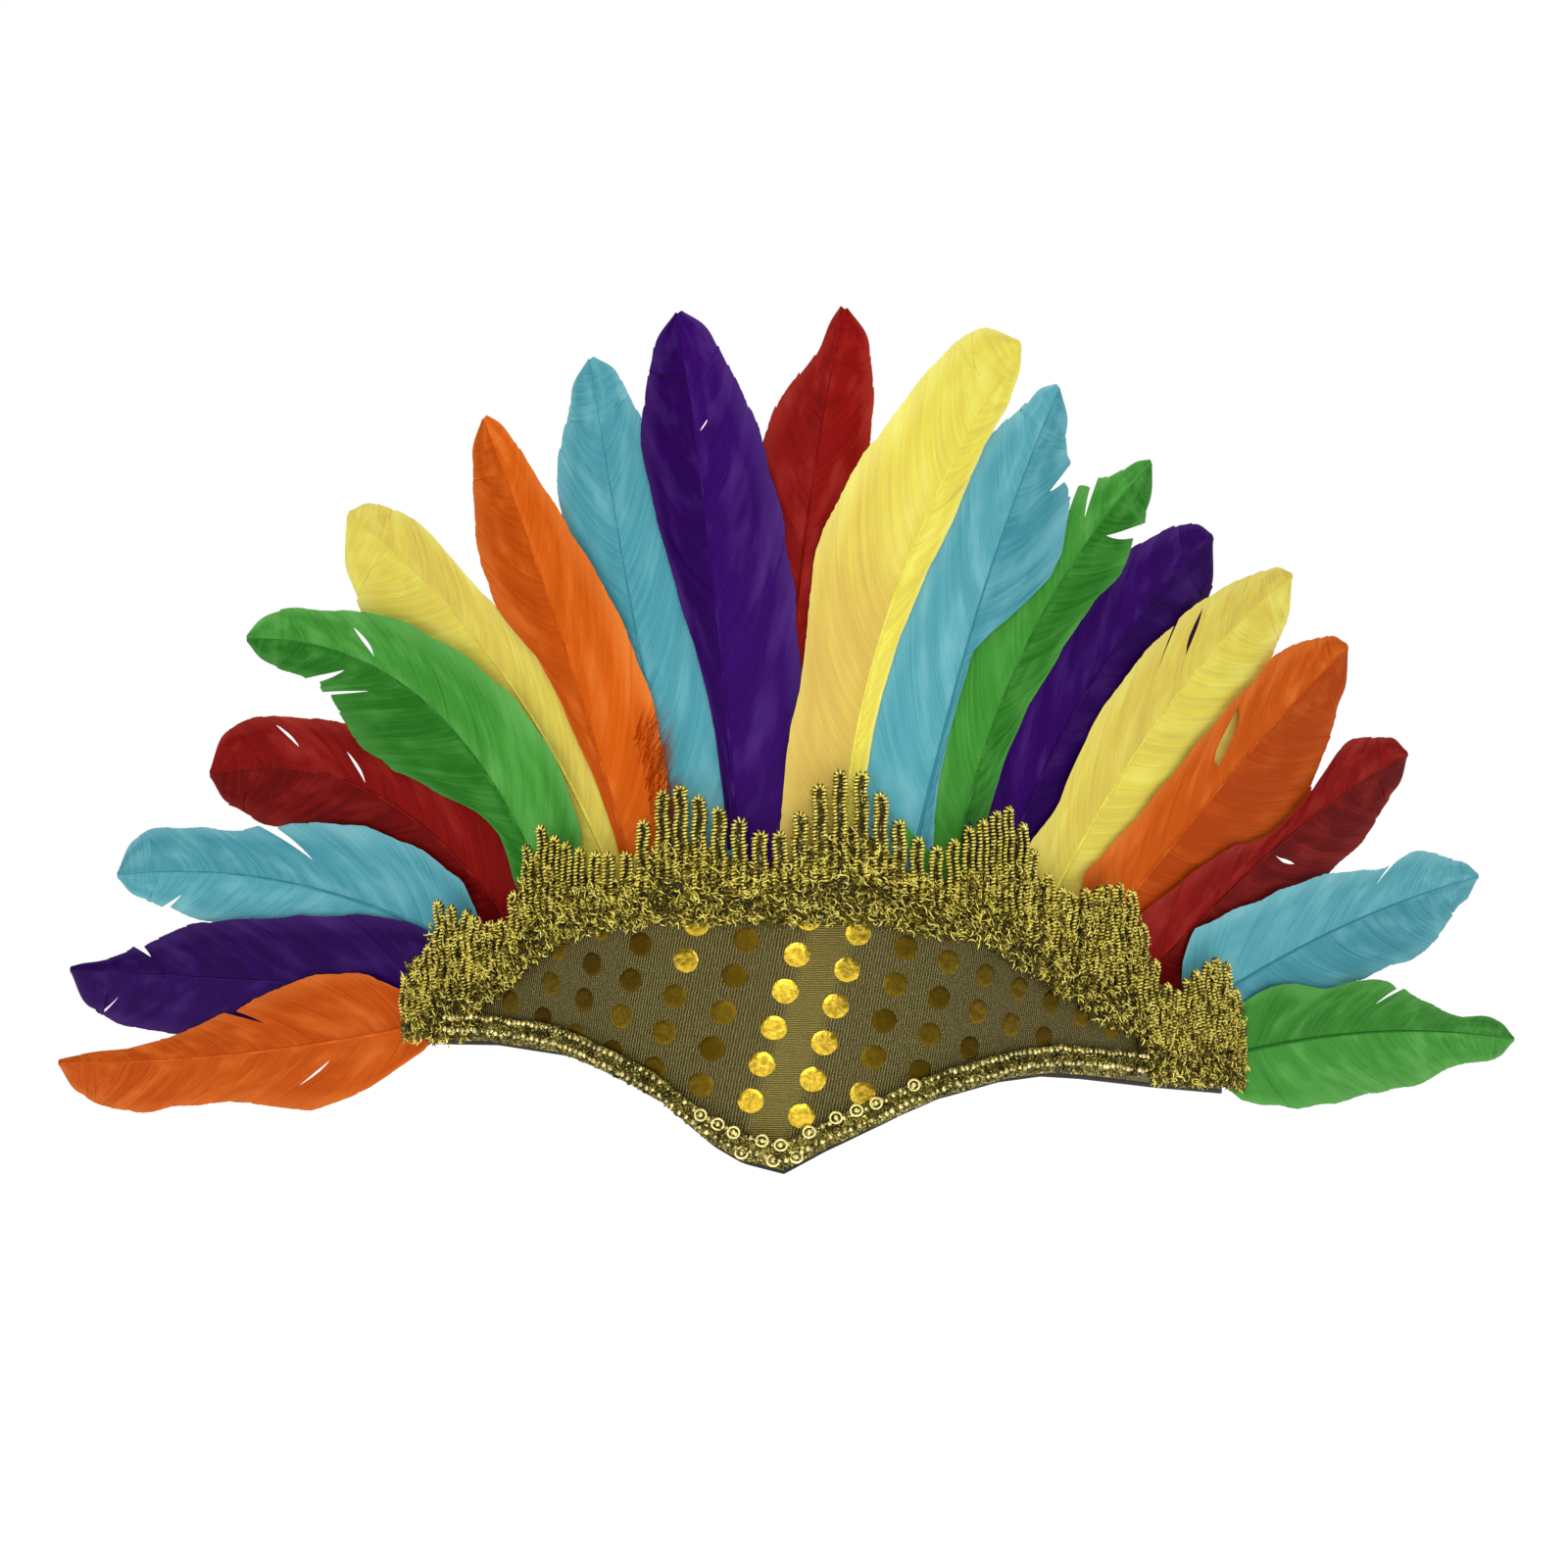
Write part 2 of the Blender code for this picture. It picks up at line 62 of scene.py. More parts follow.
bl_info = {
    "name": "Feather headdress",
    "version": (1, 0, 0),
    "blender": (4, 5, 0),
    "location": "3D View > Sidebar > Headdress",
    "description": "Builds the feathers, lace, braid, cloth and foil dots of a carnival headdress",
    "category": "Object",
}

MM = 0.001

# Texture map units in a metre, so that one unit is 10 mm
MAP_SCALE = 100

# Plan of the inner face, as in the part
BROW_RADIUS = 66 * MM
BROW_TURN = math.radians(40)
LEFT_ARC = 116 * MM
LEFT_TURN = math.radians(3)
RIGHT_ARC = 157.5 * MM
RIGHT_TURN = math.radians(12)
SWEEP_START = 45 * MM
SWEEP_RISE = 140 * MM
SWEEP_DEPTH = 18 * MM

# Band, as in the part
POINT_DROP = 28.3 * MM
LACE_PEAK = 72.5 * MM
CLEARANCE = 0.3 * MM
BACKING_THICK = 1.2 * MM
BACKING_LIP = 1.2 * MM
PANEL_THICK = 1.2 * MM
HEM_HEIGHT = 3 * MM
LACE_THICK = 2 * MM
LACE_PITCH = 4.5 * MM
LACE_FINGER = 2.8 * MM
BRAID_HEIGHT = 7 * MM
BACKING_REACH = (-0.931, 0.952)
PANEL_REACH = (-0.931, 0.914)
BRAID_REACH = (-0.733, 0.663)
LACE_REACH = (-0.99, 0.975)

# Feathers, as in the part
FAN_LEFT = 262 * MM
FAN_RIGHT = 304 * MM
FAN_HEIGHT = 186 * MM
VANE_REACH = 20 * MM
VANE_THICK = 0.6 * MM
VANE_CAMBER = 0.25 * MM
CAMBER_GROWTH = 0.7 * MM
SHAFT_RIDGE = 0.2 * MM
QUILL_RADIUS = 1.0 * MM
QUILL_SEATED = 14 * MM
QUILL_RISE = 8 * MM
LAYER_PITCH = 1.3 * MM
LAYER_SPREAD = 1.1 * MM
SPREAD_SIDE = 95 * MM
SPREAD_BASE = 45 * MM

# Depths n of the stacked layers, from the backing forward
QUILL_BACK = BACKING_THICK + CLEARANCE + QUILL_RADIUS
FRONT_LAYER = QUILL_BACK + 2 * LAYER_PITCH
PANEL_BACK = QUILL_BACK + LAYER_PITCH + VANE_THICK / 2 + SHAFT_RIDGE + CLEARANCE
QUILL_FRONT = PANEL_BACK - CLEARANCE - QUILL_RADIUS
HEM_BACK = BACKING_THICK + CLEARANCE
LACE_BACK = PANEL_BACK + PANEL_THICK + CLEARANCE

# Outlines: share of LEFT_ARC (negative) or RIGHT_ARC, then share of POINT_DROP or LACE_PEAK
BAND_BOTTOM = (
    (-1.0, 0.0), (-0.733, 0.03), (-0.517, -0.035), (-0.431, -0.13), (-0.345, -0.25), (-0.259, -0.41),
    (-0.147, -0.77), (-0.086, -0.91), (0.0, -1.0), (0.063, -0.81), (0.127, -0.65), (0.19, -0.5),
    (0.254, -0.38), (0.38, -0.265), (0.476, -0.237), (0.571, -0.283), (0.762, -0.413), (1.0, -0.55),
)
BAND_TOP = (
    (-1.0, 0.16), (-0.931, 0.22), (-0.862, 0.276), (-0.776, 0.317), (-0.69, 0.345), (-0.603, 0.414),
    (-0.474, 0.483), (-0.345, 0.524), (-0.172, 0.566), (0.0, 0.579), (0.127, 0.579), (0.229, 0.538),
    (0.4, 0.455), (0.571, 0.372), (0.635, 0.303), (0.698, 0.207), (0.762, 0.138), (0.825, 0.152),
    (0.889, 0.138), (1.0, 0.03),
)
LACE_LOW = (
    (-1.0, 0.02), (-0.77, 0.02), (-0.745, 0.138), (-0.69, 0.18), (-0.603, 0.276), (-0.517, 0.368),
    (-0.431, 0.414), (-0.259, 0.455), (0.0, 0.46), (0.127, 0.455), (0.254, 0.4), (0.317, 0.386),
    (0.4, 0.276), (0.508, 0.18), (0.571, 0.092), (0.673, 0.025), (0.7, -0.13), (0.762, -0.145), (1.0, -0.19),
)
LACE_TOP = (
    (-1.0, 0.14), (-0.966, 0.317), (-0.905, 0.331), (-0.888, 0.455), (-0.862, 0.524), (-0.793, 0.497),
    (-0.707, 0.455), (-0.647, 0.469), (-0.603, 0.69), (-0.56, 0.8), (-0.5, 0.745), (-0.405, 0.703),
    (-0.319, 0.703), (-0.259, 0.869), (-0.224, 0.952), (-0.129, 0.862), (-0.069, 0.8), (-0.026, 0.754),
    (0.01, 0.8), (0.057, 0.952), (0.098, 1.0), (0.133, 0.92), (0.178, 0.772), (0.233, 0.713), (0.273, 0.782),
    (0.337, 0.841), (0.381, 0.862), (0.4, 0.772), (0.457, 0.607), (0.495, 0.552), (0.552, 0.575),
    (0.646, 0.586), (0.667, 0.483), (0.698, 0.386), (0.717, 0.248), (0.762, 0.193), (0.806, 0.248),
    (0.873, 0.31), (0.908, 0.29), (0.952, 0.138), (0.975, 0.03), (1.0, -0.02),
)

# Shares of the way from the bare quill to the tip where the vanes' half widths are given, the place and the
# share of the last width where the tip is rounded off, and the share of VANE_REACH left at its end
VANE_STATIONS = (0.0, 0.13, 0.31, 0.48, 0.65, 0.79, 0.92)
ROUNDING_AT = 0.975
ROUNDING = 0.6
VANE_TIP = 0.05

# One row per feather: dye, root (share of the arc, share of LACE_PEAK), tip (shares of the fan's reach and
# height), bow as a share of the length, layer from the front, and left and right half widths as shares of
# VANE_REACH
FEATHERS = (
    ("orange", -0.759, 0.13, -1.0, -0.059, 0.02, 1,
     (0.3, 0.64, 0.85, 0.68, 0.66, 0.7, 0.5), (0.35, 0.78, 0.88, 0.65, 0.36, 0.2, 0.14)),
    ("purple", -0.724, 0.193, -0.991, 0.081, 0.0, 2,
     (0.3, 1.0, 0.85, 0.7, 0.78, 0.78, 0.6), (0.75, 0.93, 0.93, 0.85, 0.72, 0.42, 0.15)),
    ("turquoise", -0.681, 0.262, -0.92, 0.225, -0.058, 3,
     (0.4, 0.7, 0.8, 0.8, 0.7, 0.62, 0.38), (0.8, 0.95, 1.0, 0.8, 0.6, 0.62, 0.56)),
    ("red", -0.595, 0.248, -0.774, 0.376, -0.14, 4,
     (0.6, 0.75, 0.85, 0.8, 0.75, 0.84, 0.55), (0.95, 0.95, 0.8, 0.8, 0.73, 0.7, 0.6)),
    ("green", -0.5, 0.303, -0.699, 0.572, -0.167, 2,
     (0.45, 0.35, 0.8, 1.05, 1.0, 0.52, 0.37), (0.9, 1.07, 0.98, 0.82, 0.7, 0.5, 0.38)),
    ("yellow", -0.31, 0.345, -0.562, 0.745, -0.085, 4,
     (0.75, 0.65, 0.7, 0.8, 0.95, 1.15, 0.8), (0.6, 0.65, 0.72, 0.62, 0.5, 0.55, 0.42)),
    ("orange", -0.267, 0.345, -0.357, 0.868, -0.021, 3,
     (0.15, 0.15, 0.3, 0.5, 0.92, 0.84, 0.5), (0.5, 0.83, 1.03, 1.0, 0.73, 0.52, 0.32)),
    ("turquoise", -0.147, 0.359, -0.221, 0.941, 0.008, 4,
     (0.5, 0.6, 0.7, 0.8, 0.85, 0.92, 0.52), (0.64, 0.8, 0.9, 0.94, 0.92, 0.8, 0.5)),
    ("purple", -0.086, 0.372, -0.107, 0.995, -0.017, 3,
     (0.12, 0.14, 0.25, 0.5, 0.7, 0.8, 0.52), (0.45, 0.8, 0.98, 1.0, 0.92, 0.8, 0.47)),
    ("red", 0.0, 0.372, 0.053, 1.0, 0.033, 4,
     (0.35, 0.45, 0.55, 0.65, 0.72, 0.68, 0.22), (0.4, 0.55, 0.65, 0.75, 0.8, 0.7, 0.52)),
    ("yellow", 0.089, 0.372, 0.228, 0.965, 0.105, 2,
     (0.75, 0.8, 0.86, 1.12, 1.12, 1.0, 0.75), (0.2, 0.21, 0.23, 0.3, 0.4, 0.36, 0.33)),
    ("turquoise", 0.175, 0.372, 0.281, 0.91, 0.047, 3,
     (1.0, 1.05, 1.12, 1.05, 0.92, 0.8, 0.38), (0.3, 0.15, 0.12, 0.25, 1.05, 1.0, 0.5)),
    ("green", 0.26, 0.359, 0.411, 0.815, 0.106, 4,
     (1.0, 1.0, 0.97, 1.0, 0.87, 0.6, 0.25), (0.4, 0.38, 0.43, 0.57, 0.65, 0.75, 0.5)),
    ("purple", 0.343, 0.345, 0.513, 0.716, 0.095, 5,
     (0.9, 0.85, 0.86, 0.88, 0.85, 0.7, 0.45), (0.7, 0.8, 0.95, 1.1, 1.2, 1.1, 0.7)),
    ("yellow", 0.425, 0.262, 0.637, 0.667, 0.08, 4,
     (0.8, 0.65, 0.86, 0.86, 0.72, 0.55, 0.33), (0.55, 0.8, 1.2, 1.4, 1.4, 1.1, 0.62)),
    ("orange", 0.521, 0.234, 0.722, 0.566, 0.027, 3,
     (0.85, 0.75, 0.77, 0.78, 0.75, 0.75, 0.42), (0.5, 0.75, 1.05, 1.4, 1.5, 1.15, 0.62)),
    ("red", 0.61, 0.069, 0.817, 0.406, 0.043, 2,
     (0.75, 0.7, 0.55, 0.22, 0.35, 0.65, 0.42), (0.75, 0.7, 0.7, 0.8, 0.92, 0.82, 0.44)),
    ("turquoise", 0.749, 0.041, 0.937, 0.218, 0.027, 1,
     (1.0, 0.97, 0.88, 0.77, 0.57, 0.62, 0.32), (0.3, 0.65, 0.85, 0.87, 0.87, 0.83, 0.37)),
    ("green", 0.832, -0.083, 0.992, -0.038, 0.03, 0,
     (0.6, 0.82, 0.66, 0.75, 0.45, 0.24, 0.27), (0.65, 0.88, 0.93, 0.87, 0.75, 0.46, 0.35)),
)

# One row per feather: how far the left and the right vane go to the deep colour, which is partly the dye's
# depth and partly painted shade on a vane's shaded half, the share of the length past which they brighten as
# that painted shade fades (2 where they don't), and how light the shaft is against the vanes
SHADES = (
    (0.35, 0.45, 2, 0.2), (0.3, 0.4, 2, 0.0), (0.1, 0.3, 2, -0.3), (0.55, 0.15, 2, 0.1), (0.6, 0.0, 2, -0.2),
    (0.15, 0.3, 2, 0.1), (0.4, 0.0, 2, 0.0), (0.3, 0.25, 2, -0.3), (0.35, 0.0, 2, 0.4), (0.2, 0.0, 2, 0.0),
    (0.68, 0.0, 0.6, 0.5), (0.0, 0.4, 2, -0.5), (0.05, 0.5, 2, -0.1), (0.1, 0.4, 2, 0.0), (0.35, 0.1, 2, 0.4),
    (0.2, 0.7, 2, 0.1), (0.1, 0.6, 2, -0.1), (0.0, 0.4, 2, -0.6), (0.3, 0.0, 2, -0.6),
)

# Splits: feather, vane (0 left, 1 right), share of the length where the parted barbs leave the shaft, how far
# out the split starts and ends as shares of the vane's width, and its opening as a share of the length
SPLITS = (
    (1, 0, 0.3, 0.3, 0.75, 0.01), (1, 1, 0.4, 0.6, 1.3, 0.04), (2, 0, 0.84, 0.5, 1.2, 0.012),
    (2, 1, 0.76, 0.6, 1.4, 0.04), (3, 0, 0.78, 0.6, 1.3, 0.03), (3, 1, 0.42, 0.5, 1.2, 0.05),
    (4, 1, 0.72, 0.4, 0.9, 0.012), (4, 1, 0.56, 0.1, 0.6, 0.012), (5, 0, 0.72, 0.4, 1.2, 0.04),
    (5, 0, 0.6, 0.5, 1.3, 0.03), (5, 1, 0.67, 0.25, 0.8, 0.02), (9, 1, 0.8, 0.1, 0.4, 0.004),
    (12, 1, 0.74, 0.7, 1.2, 0.05), (13, 1, 0.8, 0.3, 1.2, 0.05), (13, 0, 0.76, 0.5, 1.2, 0.03),
    (13, 0, 0.66, 0.6, 1.2, 0.03), (15, 0, 0.6, 0.45, 0.95, 0.03), (15, 0, 0.47, 0.6, 1.2, 0.02),
    (16, 0, 0.5, 0.3, 0.88, 0.08), (17, 1, 0.53, 0.15, 0.5, 0.012), (18, 0, 0.6, 0.6, 1.3, 0.02),
    (19, 0, 0.45, 0.6, 1.3, 0.03),
)

# The feather with brown down beside its foot
DOWNY = 7

# Shares of a feather's length: how far before the bare quill's end the vanes start, and how long their
# rounded feet are. The waves of an edge, as a share of the width
VANE_START = 0.06
FOOT_LENGTH = 0.07
EDGE_WAVES = 0.03

# Each dye: its own colour, the deep colour for the painted shade of shaded barbs, and the pale colour for the
# painted light of thin edges
DYES = {
    "orange": ((0.7, 0.125, 0.006), (0.4, 0.05, 0.001), (0.82, 0.24, 0.045)),
    "purple": ((0.036, 0.001, 0.13), (0.012, 0.0, 0.045), (0.09, 0.035, 0.2)),
    "turquoise": ((0.12, 0.42, 0.48), (0.04, 0.22, 0.28), (0.27, 0.56, 0.6)),
    "red": ((0.29, 0.006, 0.004), (0.1, 0.001, 0.001), (0.4, 0.045, 0.03)),
    "green": ((0.07, 0.33, 0.045), (0.016, 0.14, 0.01), (0.17, 0.46, 0.12)),
    "yellow": ((0.82, 0.76, 0.09), (0.62, 0.42, 0.09), (0.88, 0.84, 0.27)),
}


def plan(s):
    """Place on the inner face at arc lengths s, and the band's heading there."""
    s = np.asarray(s, dtype=float)
    side = np.where(s < 0, -1.0, 1.0)
    end = np.where(s < 0, LEFT_ARC, RIGHT_ARC)
    brow_arc = BROW_RADIUS * BROW_TURN
    radius = (end - brow_arc) / np.where(s < 0, LEFT_TURN, RIGHT_TURN)
    heading = np.minimum(np.abs(s), brow_arc) / BROW_RADIUS
    bend = np.clip(np.abs(s) - brow_arc, 0.0, end - brow_arc) / radius
    x = BROW_RADIUS * np.sin(heading) + radius * (np.sin(heading + bend) - np.sin(heading))
    y = BROW_RADIUS * (1 - np.cos(heading)) + radius * (np.cos(heading) - np.cos(heading + bend))
    heading = heading + bend
    tail = np.maximum(np.abs(s) - end, 0.0)
    return side * (x + tail * np.cos(heading)), y + tail * np.sin(heading), side * heading


def place(s, z, n):
    """World points of the unrolled points (s, z) at the distance n in front of the inner face."""
    x, y, heading = plan(s)
    back = SWEEP_DEPTH * (np.maximum(0.0, z - SWEEP_START) / SWEEP_RISE) ** 2
    x, y, z = np.broadcast_arrays(x + n * np.sin(heading), y - n * np.cos(heading) + back, z)
    return np.stack([x, y, z], axis=-1)


def arc_length(share, left=LEFT_ARC, right=RIGHT_ARC):
    return share * (left if share < 0 else right)


def outline(rows, size, s):
    """Heights of an outline at arc lengths s."""
    return np.interp(s, [arc_length(along) for along, _ in rows], [up * size for _, up in rows])


def ease(t):
    """Smooth step from 0 to 1."""
    return t * t * (3 - 2 * t)


def pair(first, second):
    """Two arrays side by side, as the two values of a texture map."""
    return np.stack(np.broadcast_arrays(first, second), axis=-1)


def scaled(color, share):
    return tuple(share * c for c in color)


def band_bottom(s):
    return outline(BAND_BOTTOM, POINT_DROP, s)


def band_top(s):
    return outline(BAND_TOP, LACE_PEAK, s)


def lace_low(s):
    """Lower edge of the lace, never below the felt's lip."""
    return np.maximum(outline(LACE_LOW, LACE_PEAK, s), band_bottom(s) + BACKING_LIP)


def lace_top(s):
    return outline(LACE_TOP, LACE_PEAK, s)


def panel_depth(s, z):
    """Depth of the cloth's back: against the felt at the hem, and in front of the quills above it."""
    share = np.clip((z - band_bottom(s) - BACKING_LIP) / HEM_HEIGHT, 0.0, 1.0)
    return HEM_BACK + (PANEL_BACK - HEM_BACK) * ease(share)


def layer_depth(layer, s, z):
    """Depth of a layer of the fan, and how far out on the fan each point is."""
    out = np.maximum(np.abs(s) - SPREAD_SIDE, 0.0)
    up = np.maximum(z - SPREAD_BASE, 0.0)
    share = np.minimum(np.hypot(out, up) / FAN_HEIGHT, 1.0)
    return FRONT_LAYER - layer * (LAYER_PITCH + LAYER_SPREAD * share), share


def smooth_curve(x, xs, ys):
    """Rounded curve through the points of a table."""
    xs, ys = np.asarray(xs, float), np.asarray(ys, float)
    slopes = np.gradient(ys, xs)
    i = np.clip(np.searchsorted(xs, x) - 1, 0, len(xs) - 2)
    step = xs[i + 1] - xs[i]
    t = np.clip((x - xs[i]) / step, 0.0, 1.0)
    lead = t * (1 - t) ** 2
    trail = -t * t * (1 - t)
    return ys[i] + (ys[i + 1] - ys[i]) * ease(t) + step * (slopes[i] * lead + slopes[i + 1] * trail)


class Weave:
    """Gathers grids of points into one mesh with two texture maps."""

    def __init__(self):
        self.points, self.faces, self.maps = [], [], []
        self.count = 0

    def add(self, points, faces, surface, tone):
        self.points.append(points.reshape(-1, 3))
        self.faces.append(faces.reshape(-1, 4) + self.count)
        flat = (len(self.points[-1]), 2)
        pair = [np.broadcast_to(m, points.shape[:-1] + (2,)).reshape(flat) for m in (surface, tone)]
        self.maps.append(np.concatenate(pair, axis=1))
        self.count += flat[0]

    def grid(self, points, surface=0.0, tone=0.0, closed=False):
        """Quads over a (rows, columns, 3) array, joined round the columns if closed."""
        rows, columns = points.shape[:2]
        i = np.arange(rows - 1)[:, None] * columns
        j = np.arange(columns if closed else columns - 1)[None, :]
        k = (j + 1) % columns
        self.add(points, np.stack([i + j, i + k, i + columns + k, i + columns + j], axis=-1), surface, tone)

    def tubes(self, paths, radii, sides=4, reference=(0.0, -1.0, 0.2), surface=None, tone=0.0):
        """Round yarns along a (count, points, 3) array of paths."""
        tangents = np.gradient(paths, axis=1)
        tangents /= np.maximum(np.linalg.norm(tangents, axis=-1, keepdims=True), 1e-9)
        across = np.cross(tangents, np.broadcast_to(reference, tangents.shape))
        across /= np.maximum(np.linalg.norm(across, axis=-1, keepdims=True), 1e-9)
        raised = np.cross(across, tangents)
        angles = np.arange(sides) * 2 * math.pi / sides
        radii = np.broadcast_to(radii, paths.shape[:2])[:, :, None, None]
        ring = across[:, :, None] * np.cos(angles)[:, None] + raised[:, :, None] * np.sin(angles)[:, None]
        points = paths[:, :, None] + radii * ring
        count, length = paths.shape[:2]
        base = np.arange(count)[:, None, None] * length * sides
        i = np.arange(length - 1)[None, :, None] * sides
        j = np.arange(sides)[None, None, :]
        k = (j + 1) % sides
        low, high = base + i, base + i + sides
        if surface is None:
            along = np.broadcast_to(np.arange(length)[None, :, None] * 0.1, points.shape[:-1])
            surface = np.stack([along, np.broadcast_to(angles, points.shape[:-1])], axis=-1)
        self.add(points, np.stack([low + j, low + k, high + k, high + j], axis=-1), surface, tone)

    def build(self, name, material):
        points = np.concatenate(self.points)
        faces = np.concatenate(self.faces)
        maps = np.concatenate(self.maps)
        mesh = bpy.data.meshes.new(name)
        mesh.from_pydata(points.tolist(), [], faces.tolist())
        for label, columns in (("Surface", slice(0, 2)), ("Tone", slice(2, 4))):
            layer = mesh.uv_layers.new(name=label)
            layer.data.foreach_set("uv", maps[faces.ravel(), columns].ravel())
        mesh.shade_smooth()
        mesh.materials.append(material)
        piece = bpy.data.objects.new(name, mesh)
        bpy.context.scene.collection.objects.link(piece)
        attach(piece, "root")
        return piece


def add_node(tree, kind, settings=None, **inputs):
    """New node with its settings, and with values or links on the named inputs."""
    node = tree.nodes.new(kind)
    for key, value in (settings or {}).items():
        setattr(node, key, value)
    for key, value in inputs.items():
        numbered = key[0] == "i" and key[1:].isdigit()
        socket = node.inputs[int(key[1:]) if numbered else key.replace("_", " ")]
        if isinstance(value, bpy.types.NodeSocket):
            tree.links.new(value, socket)
        else:
            socket.default_value = value
    return node


def maths(tree, operation, first, second=0.0, clamp=False):
    node = add_node(tree, "ShaderNodeMath", {"operation": operation, "use_clamp": clamp}, i0=first, i1=second)
    return node.outputs[0]


def mix_colors(tree, factor, first, second):
    return add_node(tree, "ShaderNodeMix", {"data_type": "RGBA"}, i0=factor, i6=first, i7=second).outputs[2]


def ramp_values(tree, value, low, high, to_low=0.0, to_high=1.0):
    inputs = {"Value": value, "From_Min": low, "From_Max": high, "To_Min": to_low, "To_Max": to_high}
    return add_node(tree, "ShaderNodeMapRange", {"clamp": True}, **inputs).outputs[0]


def noise(tree, vector, scale, detail):
    return add_node(tree, "ShaderNodeTexNoise", Vector=vector, Scale=scale, Detail=detail).outputs[0]


def object_spot(tree):
    return add_node(tree, "ShaderNodeTexCoord").outputs["Object"]


def map_values(tree, label):
    """A texture map's vector, and its values one by one."""
    vector = add_node(tree, "ShaderNodeUVMap", {"uv_map": label}).outputs[0]
    return vector, add_node(tree, "ShaderNodeSeparateXYZ", Vector=vector).outputs


def tone_map(tree):
    """The Tone map's two values: a piece's own number and how bright it is, which carries painted light and
    shade on some pieces.
    """
    return map_values(tree, "Tone")[1]


def new_group(name, inputs, outputs):
    """Empty shader node group with named sockets."""
    tree = bpy.data.node_groups.new(name, "ShaderNodeTree")
    for label, kind, value in inputs:
        socket = tree.interface.new_socket(name=label, in_out="INPUT", socket_type=kind)
        socket.default_value = value
    for label, kind in outputs:
        tree.interface.new_socket(name=label, in_out="OUTPUT", socket_type=kind)
    return tree, tree.nodes.new("NodeGroupInput").outputs, tree.nodes.new("NodeGroupOutput").inputs


def new_material(name, roughness=0.6, metallic=0.0):
    material = bpy.data.materials.new(name)
    material.use_nodes = True
    tree = material.node_tree
    shader = tree.nodes["Principled BSDF"]
    shader.inputs["Roughness"].default_value = roughness
    shader.inputs["Metallic"].default_value = metallic
    return material, tree, shader


def bump(tree, shader, height, strength, distance):
    node = add_node(tree, "ShaderNodeBump", Strength=strength, Distance=distance, Height=height)
    tree.links.new(node.outputs["Normal"], shader.inputs["Normal"])


FLOAT = "NodeSocketFloat"
COLOR = "NodeSocketColor"


def barb_group():
    """Streaks along the barbs; darker vanes, partly painted shade; broad fold streaks with painted shade and
    highlight; paler thin edges as painted light.
    """
    name = "Dyed barbs"
    if name in bpy.data.node_groups:
        return bpy.data.node_groups[name]
    tree, given, out = new_group(
        name,
        [("Dye", COLOR, (0.5, 0.5, 0.5, 1)), ("Deep", COLOR, (0.1, 0.1, 0.1, 1)),
         ("Pale", COLOR, (0.8, 0.8, 0.8, 1)), ("Streaks", FLOAT, 0.6)],
        [("Color", COLOR), ("Height", FLOAT)])
    _, surface = map_values(tree, "Surface")
    tone = tone_map(tree)

    def streaks(along, across, detail):
        x = maths(tree, "MULTIPLY", surface[0], along)
        y = maths(tree, "MULTIPLY", surface[1], across)
        vector = add_node(tree, "ShaderNodeCombineXYZ", X=x, Y=y, Z=tone[0]).outputs[0]
        return noise(tree, vector, 1.0, detail)

    fine = streaks(17.0, 1.0, 3.0)
    locks = streaks(6.0, 0.8, 3.0)
    # Broad streaks paint shade and highlight as if the vane were folded along its barbs
    fold_shading = streaks(0.9, 2.0, 2.0)
    shade = maths(tree, "MULTIPLY", maths(tree, "ADD", fine, locks), 0.6)
    shade = maths(tree, "ADD", shade, maths(tree, "MULTIPLY", fold_shading, 0.5))
    shade = ramp_values(tree, shade, 0.6, 1.05)
    shade = maths(tree, "MULTIPLY", maths(tree, "SUBTRACT", 1.0, shade), given["Streaks"])
    dark = maths(tree, "ADD", shade, tone[1], clamp=True)
    color = mix_colors(tree, dark, given["Dye"], given["Deep"])
    # Painted light: thin outer edges and fold crests are mixed towards the pale colour
    edge = ramp_values(tree, surface[1], 0.75, 1.0, 0.0, 0.45)
    lit = maths(tree, "ADD", edge, ramp_values(tree, fold_shading, 0.5, 0.75, 0.0, 0.4), clamp=True)
    lit = maths(tree, "MULTIPLY", lit, maths(tree, "SUBTRACT", 1.0, tone[1], clamp=True))
    color = mix_colors(tree, lit, color, given["Pale"])
    tree.links.new(color, out["Color"])
    tree.links.new(fine, out["Height"])
    return tree


def feather_material(dye):
    name = f"Dyed {dye} feather"
    if name in bpy.data.materials:
        return bpy.data.materials[name]
    color, deep, pale = ((*c, 1.0) for c in DYES[dye])
    material, tree, shader = new_material(name, roughness=0.5)
    shader.inputs["Specular IOR Level"].default_value = 0.05
    barbs = add_node(tree, "ShaderNodeGroup", {"node_tree": barb_group()}, Dye=color, Deep=deep, Pale=pale)
    tree.links.new(barbs.outputs["Color"], shader.inputs["Base Color"])
    bump(tree, shader, barbs.outputs["Height"], 0.35, 0.0004)
    return material


